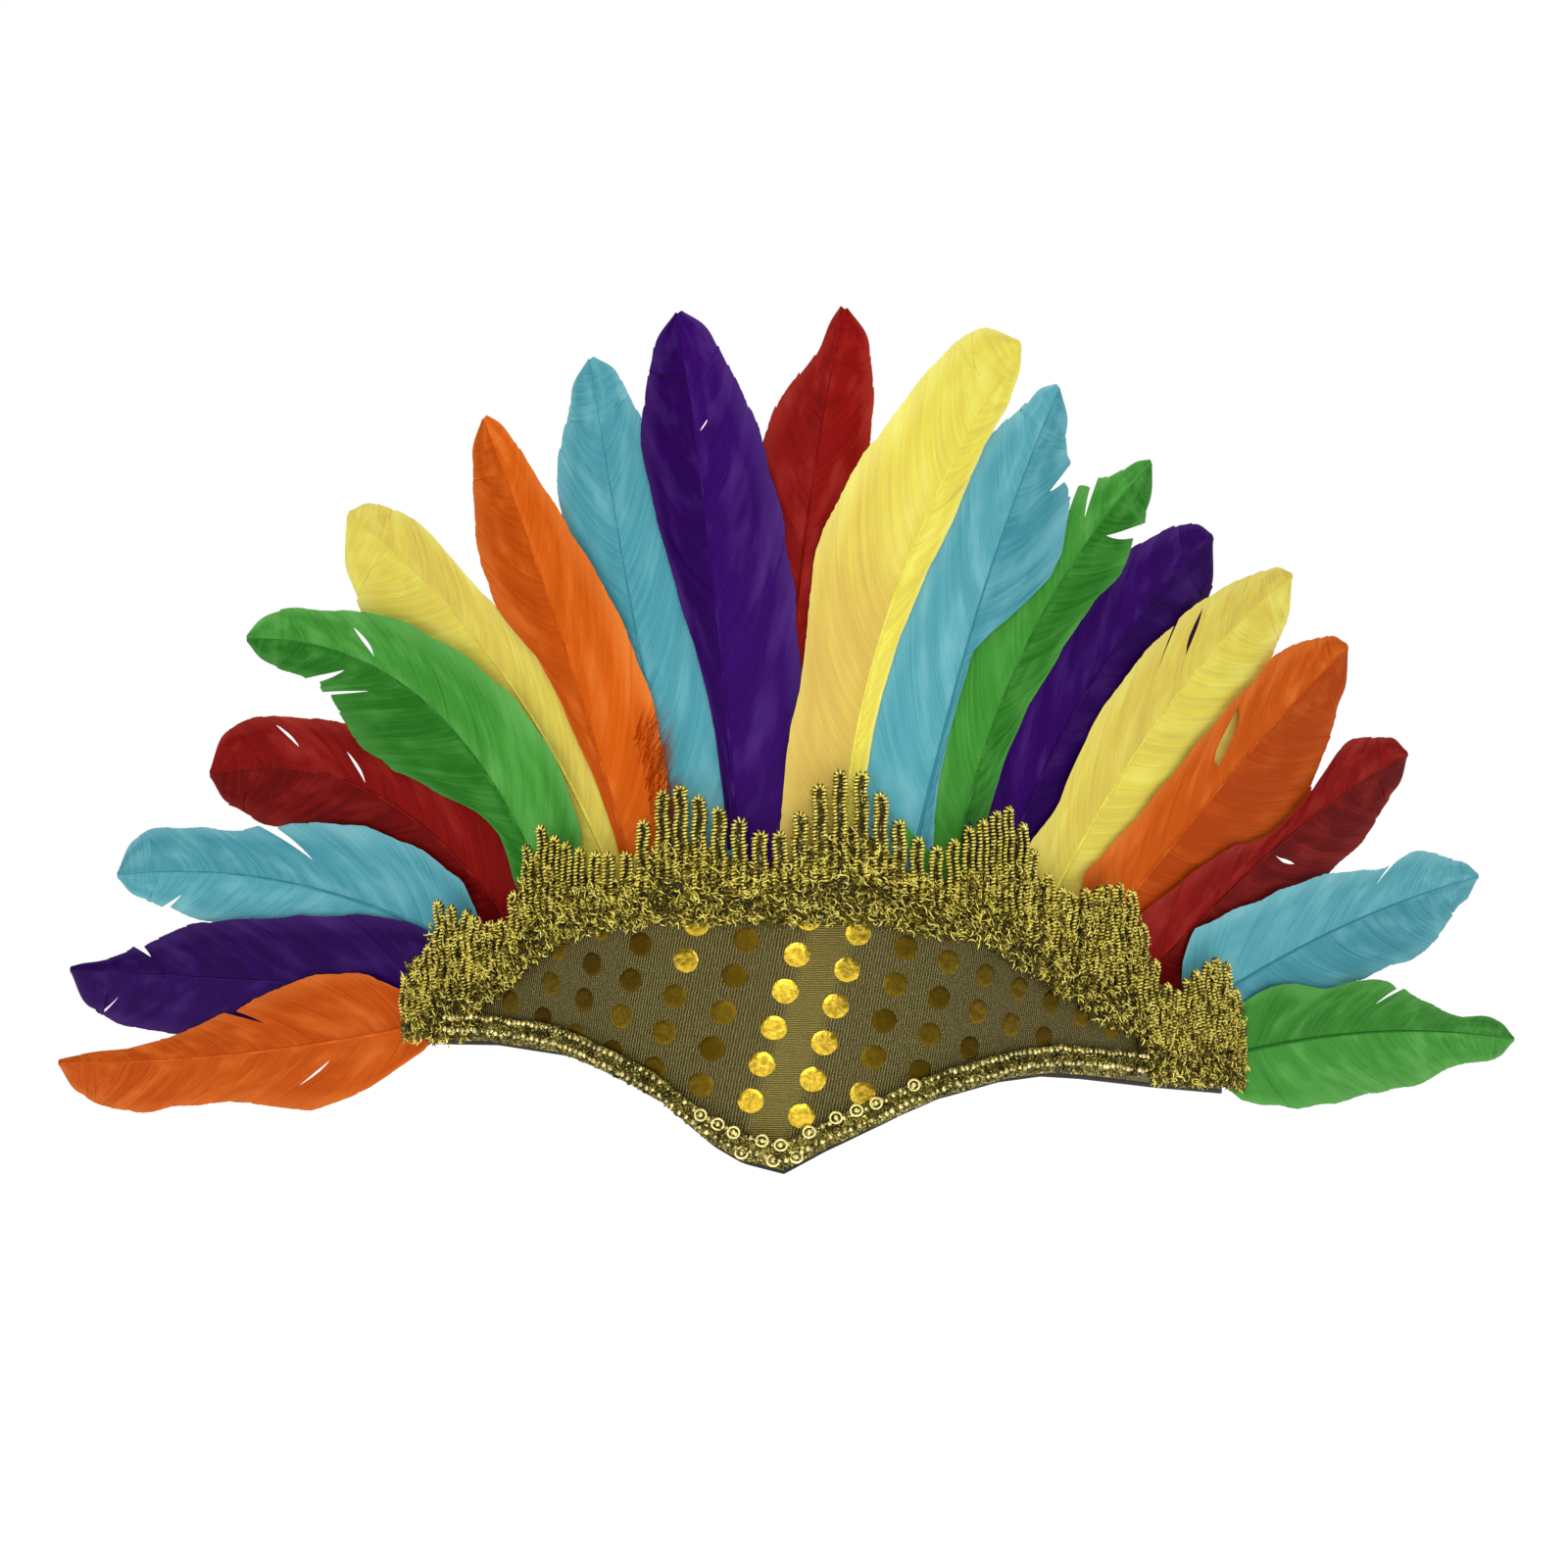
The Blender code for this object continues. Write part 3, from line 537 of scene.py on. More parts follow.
def yarn_material(name, color, deep, metallic, roughness):
    """Metallic yarn: bright specks between dull fibres, lighter or darker by each piece's Tone brightness,
    which on the lace's fingers is painted light and shade, and white-gold painted glints.
    """
    material, tree, shader = new_material(name, roughness, metallic)
    spot = object_spot(tree)
    specks = noise(tree, spot, 1700.0, 2.0)
    patches = noise(tree, spot, 300.0, 3.0)
    # Each piece's Tone brightness, painted light and shade on the lace's fingers, random on other pieces
    shine = maths(tree, "ADD", maths(tree, "MULTIPLY", patches, 0.6), tone_map(tree)[1])
    mask = ramp_values(tree, maths(tree, "ADD", specks, shine), 0.72, 1.0)
    yarn = mix_colors(tree, mask, (*deep, 1), (*color, 1))
    # Painted glints: small white-gold highlights mixed into the colour
    painted_glints = ramp_values(tree, maths(tree, "ADD", specks, maths(tree, "MULTIPLY", shine, 0.3)), 0.72, 0.78)
    tree.links.new(mix_colors(tree, painted_glints, yarn, (1.0, 0.9, 0.32, 1)), shader.inputs["Base Color"])
    rough = ramp_values(tree, specks, 0.3, 0.7, roughness + 0.2, roughness - 0.15)
    tree.links.new(rough, shader.inputs["Roughness"])
    bump(tree, shader, specks, 0.6, 0.0003)
    return material


class HeaddressFeathers(PropertyGroup):
    barb_pitch: FloatProperty(
        name="Barb pitch", description="Distance between modelled barbs along the shaft",
        default=0.8 * MM, unit="LENGTH", precision=5)
    barb_points: IntProperty(
        name="Points on a barb", description="Points across half a vane",
        default=11, min=3)
    barb_sweep: FloatProperty(
        name="Barb sweep",
        description="How far a barb runs towards the tip, as a multiple of its vane's width",
        default=2.8, subtype="FACTOR")
    lock_length: FloatProperty(
        name="Lock length", description="Usual length of the locks that the barbs cling together in",
        default=13 * MM, unit="LENGTH", precision=4)
    parting: FloatProperty(
        name="Parting",
        description="How far neighbouring locks pull apart at the edge, as a share of the length",
        default=0.001, subtype="FACTOR", precision=4)
    overlap: FloatProperty(
        name="Overlap", description="How far the edges of neighbouring locks lie over each other",
        default=0.7 * MM, unit="LENGTH", precision=5)
    shaft_radius: FloatProperty(
        name="Shaft radius", description="Radius of the shaft where the vanes begin",
        default=0.55 * MM, unit="LENGTH", precision=5)
    down_barbs: IntProperty(
        name="Downy barbs", description="Number of loose barbs beside the downy feather's foot",
        default=260, min=1)


class FeatherShape:
    """Curve, depths and half widths of one feather, from its row of the table."""

    def __init__(self, number):
        self.number = number
        self.dye, root_along, root_up, tip_along, tip_up, bow, self.layer, left, right = FEATHERS[number - 1]
        *self.darkness, self.brighten, self.shaft_light = SHADES[number - 1]
        self.root = np.array([arc_length(root_along), root_up * LACE_PEAK])
        self.tip = np.array([arc_length(tip_along, FAN_LEFT, FAN_RIGHT), tip_up * FAN_HEIGHT])
        chord = self.tip - self.root
        self.length = float(np.hypot(*chord))
        self.bowed = (self.root + self.tip) / 2 + 2 * bow * np.array([-chord[1], chord[0]])
        self.bare = (QUILL_SEATED + QUILL_RISE) / self.length
        self.stations = (*VANE_STATIONS, ROUNDING_AT, 1.0)
        self.widths = [
            np.array((*side, ROUNDING * side[-1], VANE_TIP)) * VANE_REACH for side in (left, right)]

    def at(self, share):
        """Shaft points and left-hand normals at shares of the length."""
        t = np.asarray(share, float)[..., None]
        point = (1 - t) ** 2 * self.root + 2 * t * (1 - t) * self.bowed + t ** 2 * self.tip
        tangent = (1 - t) * (self.bowed - self.root) + t * (self.tip - self.bowed)
        tangent /= np.linalg.norm(tangent, axis=-1, keepdims=True)
        return point, np.stack([-tangent[..., 1], tangent[..., 0]], axis=-1)

    def half_width(self, side, share):
        station = np.clip((share - self.bare) / (1 - self.bare), 0.0, 1.0)
        return np.maximum(smooth_curve(station, self.stations, self.widths[side]), 0.3 * MM)

    def depth(self, share, s, z):
        """Depth of the shaft: seated in the band, then out to its own layer of the fan."""
        free, _ = layer_depth(self.layer, s, z)
        seat = np.clip(free, QUILL_BACK, QUILL_FRONT)
        rise = np.clip((share * self.length - QUILL_SEATED) / QUILL_RISE, 0.0, 1.0)
        return seat + (free - seat) * ease(rise)


def parted(f, split):
    """How far a split's edge has moved at the shares f of the vane's width."""
    _, _, _, start, end, opening = split
    along = np.clip((f - start) / (end - start), 0.0, 1.0)
    return opening * np.sin(along * math.pi / (1.0 if end < 1 else 2.0)) ** 1.3


def lock_edges(shape, side, start, settings, rng):
    """Shares along the shaft where one lock of barbs ends and the next begins, and the splits there."""
    splits = {split[2]: split for split in SPLITS if split[:2] == (shape.number, side)}
    edges = [start]
    while edges[-1] < 1.0:
        edges.append(edges[-1] + settings.lock_length * rng.uniform(0.4, 1.6) / shape.length)
    apart = [e for e in edges[1:-1] if e < 0.96 and all(abs(e - share) > 0.04 for share in splits)]
    return sorted([start, *apart, *splits, 1.0]), splits


def add_vane(weave, shape, side, settings, rng):
    """One vane: locks of barbs that sweep from the shaft towards the tip."""
    sign = (1.0, -1.0)[side]
    start = shape.bare - VANE_START
    edges, splits = lock_edges(shape, side, start, settings, rng)
    f = np.linspace(0.0, 1.0, settings.barb_points)
    pull = short = 0.0
    for number, (low, high) in enumerate(zip(edges, edges[1:])):
        count = max(3, int((high - low) * shape.length / settings.barb_pitch)) + 1
        a = np.linspace(low, high, count)
        q = np.linspace(0.0, 1.0, count)[:, None]
        sweep = settings.barb_sweep * shape.half_width(side, a + 0.1) / shape.length
        sweep *= np.clip((a - start) / 0.2, 0.1, 1.0)
        end = a + sweep * (1 - a) / (1 - a + sweep)
        share = a[:, None] + (end - a)[:, None] * (0.45 * f + 0.55 * f * f)
        pull, last = rng.normal(0.0, settings.parting) * min(1.0, (1.0 - high) * 8), pull
        short, before = rng.uniform(0.0, 0.025), short
        share = share + (last * (1 - q) + pull * q + rng.normal(0, settings.parting / 3)) * f ** 2.5
        for edge, away, near in ((low, 1, 1 - q), (high, -1, q)):
            over = settings.overlap / shape.length * f * np.ones_like(near)
            if edge in splits:
                moved = parted(f, splits[edge])
                share = share + away * moved * 0.5 * near ** 1.5
                over = over * (moved < 1e-4)
            share = share - away * over * near ** 3
        width = shape.half_width(side, end)
        waves = np.sin(end * 31 + shape.number * 2 + side) * np.sin(end * 17 + shape.number)
        width *= 1 + EDGE_WAVES * waves
        ragged = 0.02 * (2 * q[:, 0] - 1) ** 4 + rng.uniform(0, 0.012, count)
        ragged = before * (1 - q[:, 0]) + short * q[:, 0] + ragged * np.clip((1 - end) * 8, 0.2, 1.0)
        width *= 1 - ragged
        width *= np.sqrt(np.clip((end - start) / FOOT_LENGTH, 0.03, 1.0))
        point, normal = shape.at(share)
        flat = point + normal * (sign * width[:, None] * f)[..., None]
        s, z = flat[..., 0], flat[..., 1]
        _, spread = layer_depth(shape.layer, s, z)
        camber = VANE_CAMBER + CAMBER_GROWTH * spread
        lift = rng.uniform(-0.08, 0.08) * MM * f + 0.07 * MM * np.sin(a * 90 + number)[:, None] * f
        n = shape.depth(np.broadcast_to(a[:, None], s.shape), s, z) - camber * (0.4 * f + 0.6 * f * f) + lift
        surface = pair(a[:, None] * shape.length * MAP_SCALE, f)
        # Painted shade: each vane's darkness, partly dye depth, fades out past its brighten share, with a
        # little random spread
        fade = np.clip((shape.brighten + 0.15 - share) / 0.3, 0.0, 1.0) if shape.brighten < 1 else 1.0
        dark = shape.darkness[side] * fade + rng.uniform(-0.04, 0.04)
        tone = pair(shape.number + side * 0.37, dark + 0 * share)
        weave.grid(place(s, z, n), surface, tone)


def add_shaft(weave, shape, settings):
    """Tapered quill and shaft in one, flatter where the vanes begin."""
    share = np.concatenate([np.linspace(0.0, shape.bare, 10)[:-1], np.linspace(shape.bare, 0.99, 26)])
    point, _ = shape.at(share)
    s, z = point[:, 0], point[:, 1]
    depth = shape.depth(share, s, z) - 0.1 * MM
    thick = settings.shaft_radius
    radii = (QUILL_RADIUS, QUILL_RADIUS * 0.9, thick, thick * 0.6, 0.12 * MM)
    radius = np.interp(share, (0.0, shape.bare * 0.7, shape.bare, 0.6, 1.0), radii)
    surface = pair((share * 40)[None, :, None], np.full((1, 1, 8), 0.2))
    tone = (0.5, 0.4 - shape.shaft_light)
    weave.tubes(place(s, z, depth)[None], radius[None], 8, surface=surface, tone=tone)


def add_down(weave, shape, count, rng):
    """Loose downy barbs beside the foot of a vane."""
    t = np.linspace(0, 1, 7)
    a = rng.uniform(shape.bare + 0.02, 0.36, count)
    point, normal = shape.at(a)
    edge = shape.half_width(1, a + 0.04)[:, None] * rng.uniform(0.55, 0.95, (count, 1))
    fullest = np.clip(1.3 - 3 * np.abs(a - 0.24), 0.2, 1)[:, None]
    reach = edge + rng.uniform(1.5, 7.5, (count, 1)) * MM * t * fullest
    tangent = np.stack([normal[:, 1], -normal[:, 0]], axis=-1)
    lean = (rng.uniform(1, 7, (count, 1)) * t + rng.normal(0, 0.8, (count, 1)) * t ** 3) * MM
    flat = point[:, None] - normal[:, None] * reach[..., None] + tangent[:, None] * lean[..., None]
    s, z = flat[..., 0], flat[..., 1]
    n = layer_depth(shape.layer, s, z)[0] - 0.1 * MM + rng.normal(0, 0.12, (count, 1)) * MM * t
    radii = np.broadcast_to(0.09 * MM * (1.05 - t), (count, 7))
    surface = np.broadcast_to([0.3, 0.2], (count, 7, 3, 2))
    weave.tubes(place(s, z, n), radii, 3, surface=surface, tone=(0.4, 0.9))


class HEADDRESS_OT_feathers(Operator):
    """Build the fan: each feather's two vanes of barbs and its shaft"""
    bl_idname = "headdress.feathers"
    bl_label = "Feathers"

    def execute(self, context):
        settings = context.scene.headdress_feathers
        for number in range(1, len(FEATHERS) + 1):
            rng = np.random.default_rng(100 + number)
            shape = FeatherShape(number)
            weave = Weave()
            for side in (0, 1):
                add_vane(weave, shape, side, settings, rng)
            add_shaft(weave, shape, settings)
            if number == DOWNY:
                add_down(weave, shape, settings.down_barbs, rng)
            piece = weave.build(f"vanes_{number:02d}_{shape.dye}", feather_material(shape.dye))
            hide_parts(f"feather_{number:02d}_{shape.dye}")
        return {"FINISHED"}


def strip_columns(reach, step):
    left, right = arc_length(reach[0]), arc_length(reach[1])
    return np.linspace(left, right, max(2, round((right - left) / step)) + 1)


def closed_strip(weave, sections, surface):
    """Strip from (columns, ring points, 3) sections, joined round and closed at both ends."""
    middle = sections.mean(axis=1, keepdims=True)
    ends = np.repeat(middle, sections.shape[1], axis=1)
    sections = np.concatenate([ends[:1], sections, ends[-1:]])
    surface = np.concatenate([surface[:1], surface, surface[-1:]])
    weave.grid(sections, surface, closed=True)


class HeaddressBand(PropertyGroup):
    step: FloatProperty(
        name="Step", description="Distance between the modelled columns of the felt and the cloth",
        default=1.5 * MM, unit="LENGTH", precision=5)
    felt_color: FloatVectorProperty(
        name="Felt", description="Colour of the stiff felt", default=(0.016, 0.013, 0.01), subtype="COLOR")
    cloth_color: FloatVectorProperty(
        name="Cloth", description="Colour of the knit's metallic ribs",
        default=(0.3, 0.235, 0.03), subtype="COLOR")
    # Painted shade that fills the grooves between the ribs
    cloth_shade: FloatVectorProperty(
        name="Cloth shade", description="Colour between the ribs",
        default=(0.024, 0.018, 0.002), subtype="COLOR")
    rib_pitch: FloatProperty(
        name="Rib pitch", description="Distance between the knit's ribs", default=0.7 * MM, unit="LENGTH",
        precision=5)
    rib_lean: FloatProperty(
        name="Rib lean", description="How far the ribs lean, sideways for each unit of height",
        default=0.18, subtype="FACTOR")
    # The strip's extra lightness is partly a painted highlight
    strip_lean: FloatProperty(
        name="Strip lean",
        description="How far the lighter strip in the middle leans, for each unit of height",
        default=0.29, subtype="FACTOR")
    strip_middle: FloatProperty(
        name="Strip middle", description="Arc length of the lighter strip's middle, at the seat's height",
        default=1.7 * MM, unit="LENGTH", precision=5)
    strip_width: FloatProperty(
        name="Strip width", description="Half the width of the lighter strip, where the knit runs across",
        default=4.5 * MM, unit="LENGTH", precision=5)


def felt_material(color):
    material, tree, shader = new_material("Dark felt", roughness=0.95)
    spot = object_spot(tree)
    fibres = noise(tree, spot, 1400.0, 5.0)
    clouds = noise(tree, spot, 60.0, 3.0)
    cloudy = ramp_values(tree, clouds, 0.3, 0.7, 0.4, 1.0)
    fade = maths(tree, "MULTIPLY", ramp_values(tree, fibres, 0.45, 0.75), cloudy)
    lit = tuple(min(1.0, 3.2 * c) for c in color)
    tree.links.new(mix_colors(tree, fade, (*color, 1), (*lit, 1)), shader.inputs["Base Color"])
    shader.inputs["Sheen Weight"].default_value = 0.1
    bump(tree, shader, fibres, 0.8, 0.0004)
    return material


def knit_material(settings):
    """Fine leaning ribs of metallic thread with painted shade in the grooves between them, a lighter strip
    that is knit across and partly lit by a painted highlight, and bright specks that are painted glints.
    """
    material, tree, shader = new_material("Gold knit", roughness=0.5, metallic=0.7)
    cloth, surface = map_values(tree, "Surface")
    turn = 2 * math.pi / (settings.rib_pitch * MAP_SCALE)
    drift = maths(tree, "MULTIPLY", noise(tree, cloth, 7.0, 3.0), 5.0)

    def waves(phase):
        return ramp_values(tree, maths(tree, "SINE", phase), -1.0, 1.0)

    def leaning(lean):
        return maths(tree, "SUBTRACT", surface[0], maths(tree, "MULTIPLY", surface[1], lean))

    phase = maths(tree, "ADD", maths(tree, "MULTIPLY", leaning(settings.rib_lean), turn), drift)
    rows = maths(tree, "ADD", maths(tree, "MULTIPLY", surface[1], turn * 1.3), drift)
    rib = waves(phase)
    stitch = waves(maths(tree, "ADD", rows, maths(tree, "MULTIPLY", phase, 0.5)))
    aside = maths(tree, "SUBTRACT", leaning(settings.strip_lean), settings.strip_middle * MAP_SCALE)
    edge = settings.strip_width * MAP_SCALE
    strip = ramp_values(tree, maths(tree, "ABSOLUTE", aside), edge * 1.4, edge * 0.7)
    grain = noise(tree, cloth, 60.0, 3.0)
    ribbed = maths(tree, "ADD", maths(tree, "MULTIPLY", rib, 0.65), maths(tree, "MULTIPLY", stitch, 0.25))
    # Painted highlight: the added 0.35 makes the strip lighter as well as knit across
    across = maths(tree, "ADD", maths(tree, "MULTIPLY", waves(rows), 0.7), 0.35)
    keep = maths(tree, "SUBTRACT", 1.0, strip)
    height = maths(tree, "ADD", maths(tree, "MULTIPLY", ribbed, keep), maths(tree, "MULTIPLY", across, strip))
    # Painted shade: the grooves between the ribs take the dark cloth shade colour
    lit = ramp_values(tree, maths(tree, "ADD", height, maths(tree, "MULTIPLY", grain, 0.8)), 0.7, 1.5)
    color = mix_colors(tree, lit, (*settings.cloth_shade, 1), (*settings.cloth_color, 1))
    # Painted glints: pale near-white specks on the metallic thread
    specks = ramp_values(tree, noise(tree, cloth, 150.0, 2.0), 0.64, 0.68)
    color = mix_colors(tree, specks, color, (0.95, 0.9, 0.62, 1))
    tree.links.new(color, shader.inputs["Base Color"])
    bump(tree, shader, height, 0.8, 0.0003)
    return material


class HEADDRESS_OT_band(Operator):
    """Build the stiff felt and the gold knit cloth over it"""
    bl_idname = "headdress.band"
    bl_label = "Felt and cloth"

    def execute(self, context):
        settings = context.scene.headdress_band
        self.build_felt(settings)
        self.build_cloth(settings)
        return {"FINISHED"}

    def build_felt(self, settings):
        s = strip_columns(BACKING_REACH, settings.step)
        low, high = band_bottom(s), band_top(s) - BACKING_LIP
        edge = 0.3 * MM
        front = BACKING_THICK
        ring = ((low + edge, 0.0), (high - edge, 0.0), (high, edge), (high, front - edge),
                (high - edge, front), (low + edge, front), (low, front - edge), (low, edge))
        sections = np.stack([place(s, z, n) for z, n in ring], axis=1)
        surface = np.stack([pair(s * MAP_SCALE, z * MAP_SCALE) for z, _ in ring], axis=1)
        weave = Weave()
        closed_strip(weave, sections, surface)
        piece = weave.build("felt_shape", felt_material(settings.felt_color))
        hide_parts("backing")

    def build_cloth(self, settings):
        s = strip_columns(PANEL_REACH, settings.step)
        low, high = band_bottom(s) + BACKING_LIP, band_top(s)
        rows = [low + HEM_HEIGHT * k / 6 for k in range(7)]
        rows += [low + HEM_HEIGHT + (high - low - HEM_HEIGHT) * k / 8 for k in range(1, 9)]
        ring = [(z, panel_depth(s, z)) for z in rows]
        ring += [(z, panel_depth(s, z) + PANEL_THICK) for z in reversed(rows)]
        sections = np.stack([place(s, z, n) for z, n in ring], axis=1)
        surface = np.stack([pair(s * MAP_SCALE, z * MAP_SCALE) for z, _ in ring], axis=1)
        weave = Weave()
        closed_strip(weave, sections, surface)
        piece = weave.build("knit_cloth", knit_material(settings))
        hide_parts("front_panel")


class HeaddressDots(PropertyGroup):
    radius: FloatProperty(
        name="Radius", description="Radius of a foil dot", default=3 * MM, unit="LENGTH", precision=5)
    start: FloatVectorProperty(
        name="First dot", description="Arc length and height of the first dot, on the unrolled cloth",
        default=(5.5 * MM, 34.5 * MM), size=2, unit="LENGTH", precision=5)
    down: FloatVectorProperty(
        name="Step down", description="Step to the next dot of a column",
        default=(-2.6 * MM, -8.9 * MM), size=2, unit="LENGTH", precision=5)
    aside: FloatVectorProperty(
        name="Step aside", description="Step to the next column",
        default=(11.4 * MM, -3.7 * MM), size=2, unit="LENGTH", precision=5)
    color: FloatVectorProperty(
        name="Foil", description="Colour of the gold foil", default=(0.72, 0.48, 0.04), subtype="COLOR")


def foil_material(color):
    """Mirror-like gold film with fine crinkles; each dot's Tone brightness mixes a painted reflection on the
    listed bright dots with a painted dull brown shade on the rest.
    """
    material, tree, shader = new_material("Gold foil", roughness=0.22, metallic=1.0)
    spot = object_spot(tree)
    crinkle = noise(tree, spot, 420.0, 3.0)
    fade = ramp_values(tree, noise(tree, spot, 900.0, 4.0), 0.35, 0.65)
    bright = mix_colors(tree, fade, (*scaled(color, 0.55), 1), (*color, 1))
    # Painted shade: dull brown foil for the dots that stand for foil reflecting little light
    dull = tuple(share * c for share, c in zip((0.1, 0.085, 0.06), color))
    shine = tone_map(tree)[1]
    tree.links.new(mix_colors(tree, shine, (*dull, 1), bright), shader.inputs["Base Color"])
    tree.links.new(ramp_values(tree, shine, 0.0, 1.0, 0.5, 0.24), shader.inputs["Roughness"])
    bump(tree, shader, crinkle, 0.4, 0.0006)
    return material


# Columns and rows that reach past the cloth on every side, the two columns painted bright as a painted
# reflection, and single dots painted bright the same way
DOT_COLUMNS = range(-9, 14)
DOT_ROWS = range(-14, 12)
PAINTED_BRIGHT_COLUMNS = (0, 1)
PAINTED_BRIGHT_DOTS = ((-2, 1), (-2, 2), (2, 4))

# How far the dots' middles stay from the cloth's left and right end
DOT_MARGINS = (8 * MM, 4 * MM)


class HEADDRESS_OT_dots(Operator):
    """Build the foil dots bonded to the cloth"""
    bl_idname = "headdress.dots"
    bl_label = "Foil dots"

    def execute(self, context):
        settings = context.scene.headdress_dots
        rng = np.random.default_rng(7)
        weave = Weave()
        rings = np.array([0.0, 0.3, 0.6, 0.85, 1.0])
        angles = np.linspace(0, 2 * math.pi, 24, endpoint=False)
        start, down, aside = (np.array(v) for v in (settings.start, settings.down, settings.aside))
        left = arc_length(PANEL_REACH[0]) + DOT_MARGINS[0]
        right = arc_length(PANEL_REACH[1]) - DOT_MARGINS[1]
        for column in DOT_COLUMNS:
            for row in DOT_ROWS:
                s, z = start + row * down + column * aside
                if not left < s < right:
                    continue
                low = float(band_bottom(s)) + BACKING_LIP + BRAID_HEIGHT * 0.9
                high = float(outline(LACE_LOW, LACE_PEAK, s))
                if not low < z < high + settings.radius * 0.8:
                    continue
                # Painted reflection: the listed dots are painted bright, the rest painted dull, with a little
                # random spread
                shine = 1.0 if column in PAINTED_BRIGHT_COLUMNS else 0.0
                if (column, row) in PAINTED_BRIGHT_DOTS:
                    shine = 0.85
                self.add_dot(weave, rng, settings.radius, rings, angles, s, z, shine)
        piece = weave.build("foil_dots", foil_material(settings.color))
        return {"FINISHED"}

    def add_dot(self, weave, rng, radius, rings, angles, s, z, shine):
        """Disc that follows the cloth, with its rim pressed flat and its face a little uneven."""
        reach = radius * rings[:, None] * (1 + 0.02 * rng.normal(size=(1, len(angles))))
        ds, dz = reach * np.cos(angles), reach * np.sin(angles)
        tilt = rng.normal(0, 0.02, 2)
        shine = min(1.0, shine + rng.uniform(0.0, 0.22))
        proud = 0.11 * MM + 0.05 * MM * (1 - rings[:, None] ** 2) * rng.uniform(0.4, 1.6)
        proud = proud + np.abs(tilt[0] * ds + tilt[1] * dz)
        proud = proud * np.where(rings[:, None] > 0.99, 0.2, 1.0)
        n = panel_depth(s + ds, z + dz) + PANEL_THICK + proud
        points = place(s + ds, z + dz, n)
        weave.grid(points, 0.0, (rng.uniform(), shine), closed=True)


class HeaddressLace(PropertyGroup):
    yarn: FloatProperty(
        name="Yarn radius", description="Radius of the metallic yarn",
        default=0.25 * MM, unit="LENGTH", precision=6)
    coil_radius: FloatProperty(
        name="Coil radius", description="Radius of the yarn's turns along a finger's two legs",
        default=0.6 * MM, unit="LENGTH", precision=6)
    coil_pitch: FloatProperty(
        name="Coil pitch", description="Length of a leg that each turn of the yarn takes",
        default=0.85 * MM, unit="LENGTH", precision=5)
    curls: IntProperty(
        name="Curls", description="Number of curls of yarn in each of two layers",
        default=3600, min=0)
    color: FloatVectorProperty(
        name="Bright yarn", description="Colour of the bright metallic yarn",
        default=(0.82, 0.69, 0.1), subtype="COLOR")
    # The dull colour also paints the dark net, partly painted shade, and the painted shade on the backs of
    # the yarn's turns
    shade: FloatVectorProperty(
        name="Dull yarn", description="Colour of the dull fibres",
        default=(0.11, 0.08, 0.006), subtype="COLOR")


# How the lace changes from the brow to its ends: arc lengths, then the net's and the curls' share of the
# lace's height, and how far a finger sways
GROUND_SHARE = ((45 * MM, 60 * MM), (0.6, 0.85))
CURL_SHARE = ((55 * MM, 75 * MM), (0.62, 0.95))
FINGER_SWAY = ((55 * MM, 75 * MM), (0.2 * MM, 0.5 * MM))


def lace_fingers():
    """Middle, bottom and top of each finger of the lace's comb."""
    left, right = arc_length(LACE_REACH[0]), arc_length(LACE_REACH[1])
    count = round((right - left - LACE_FINGER) / LACE_PITCH)
    start = left + np.arange(count + 1) * (right - left - LACE_FINGER) / count
    middle = start + LACE_FINGER / 2
    return middle, lace_low(middle), lace_top(middle)


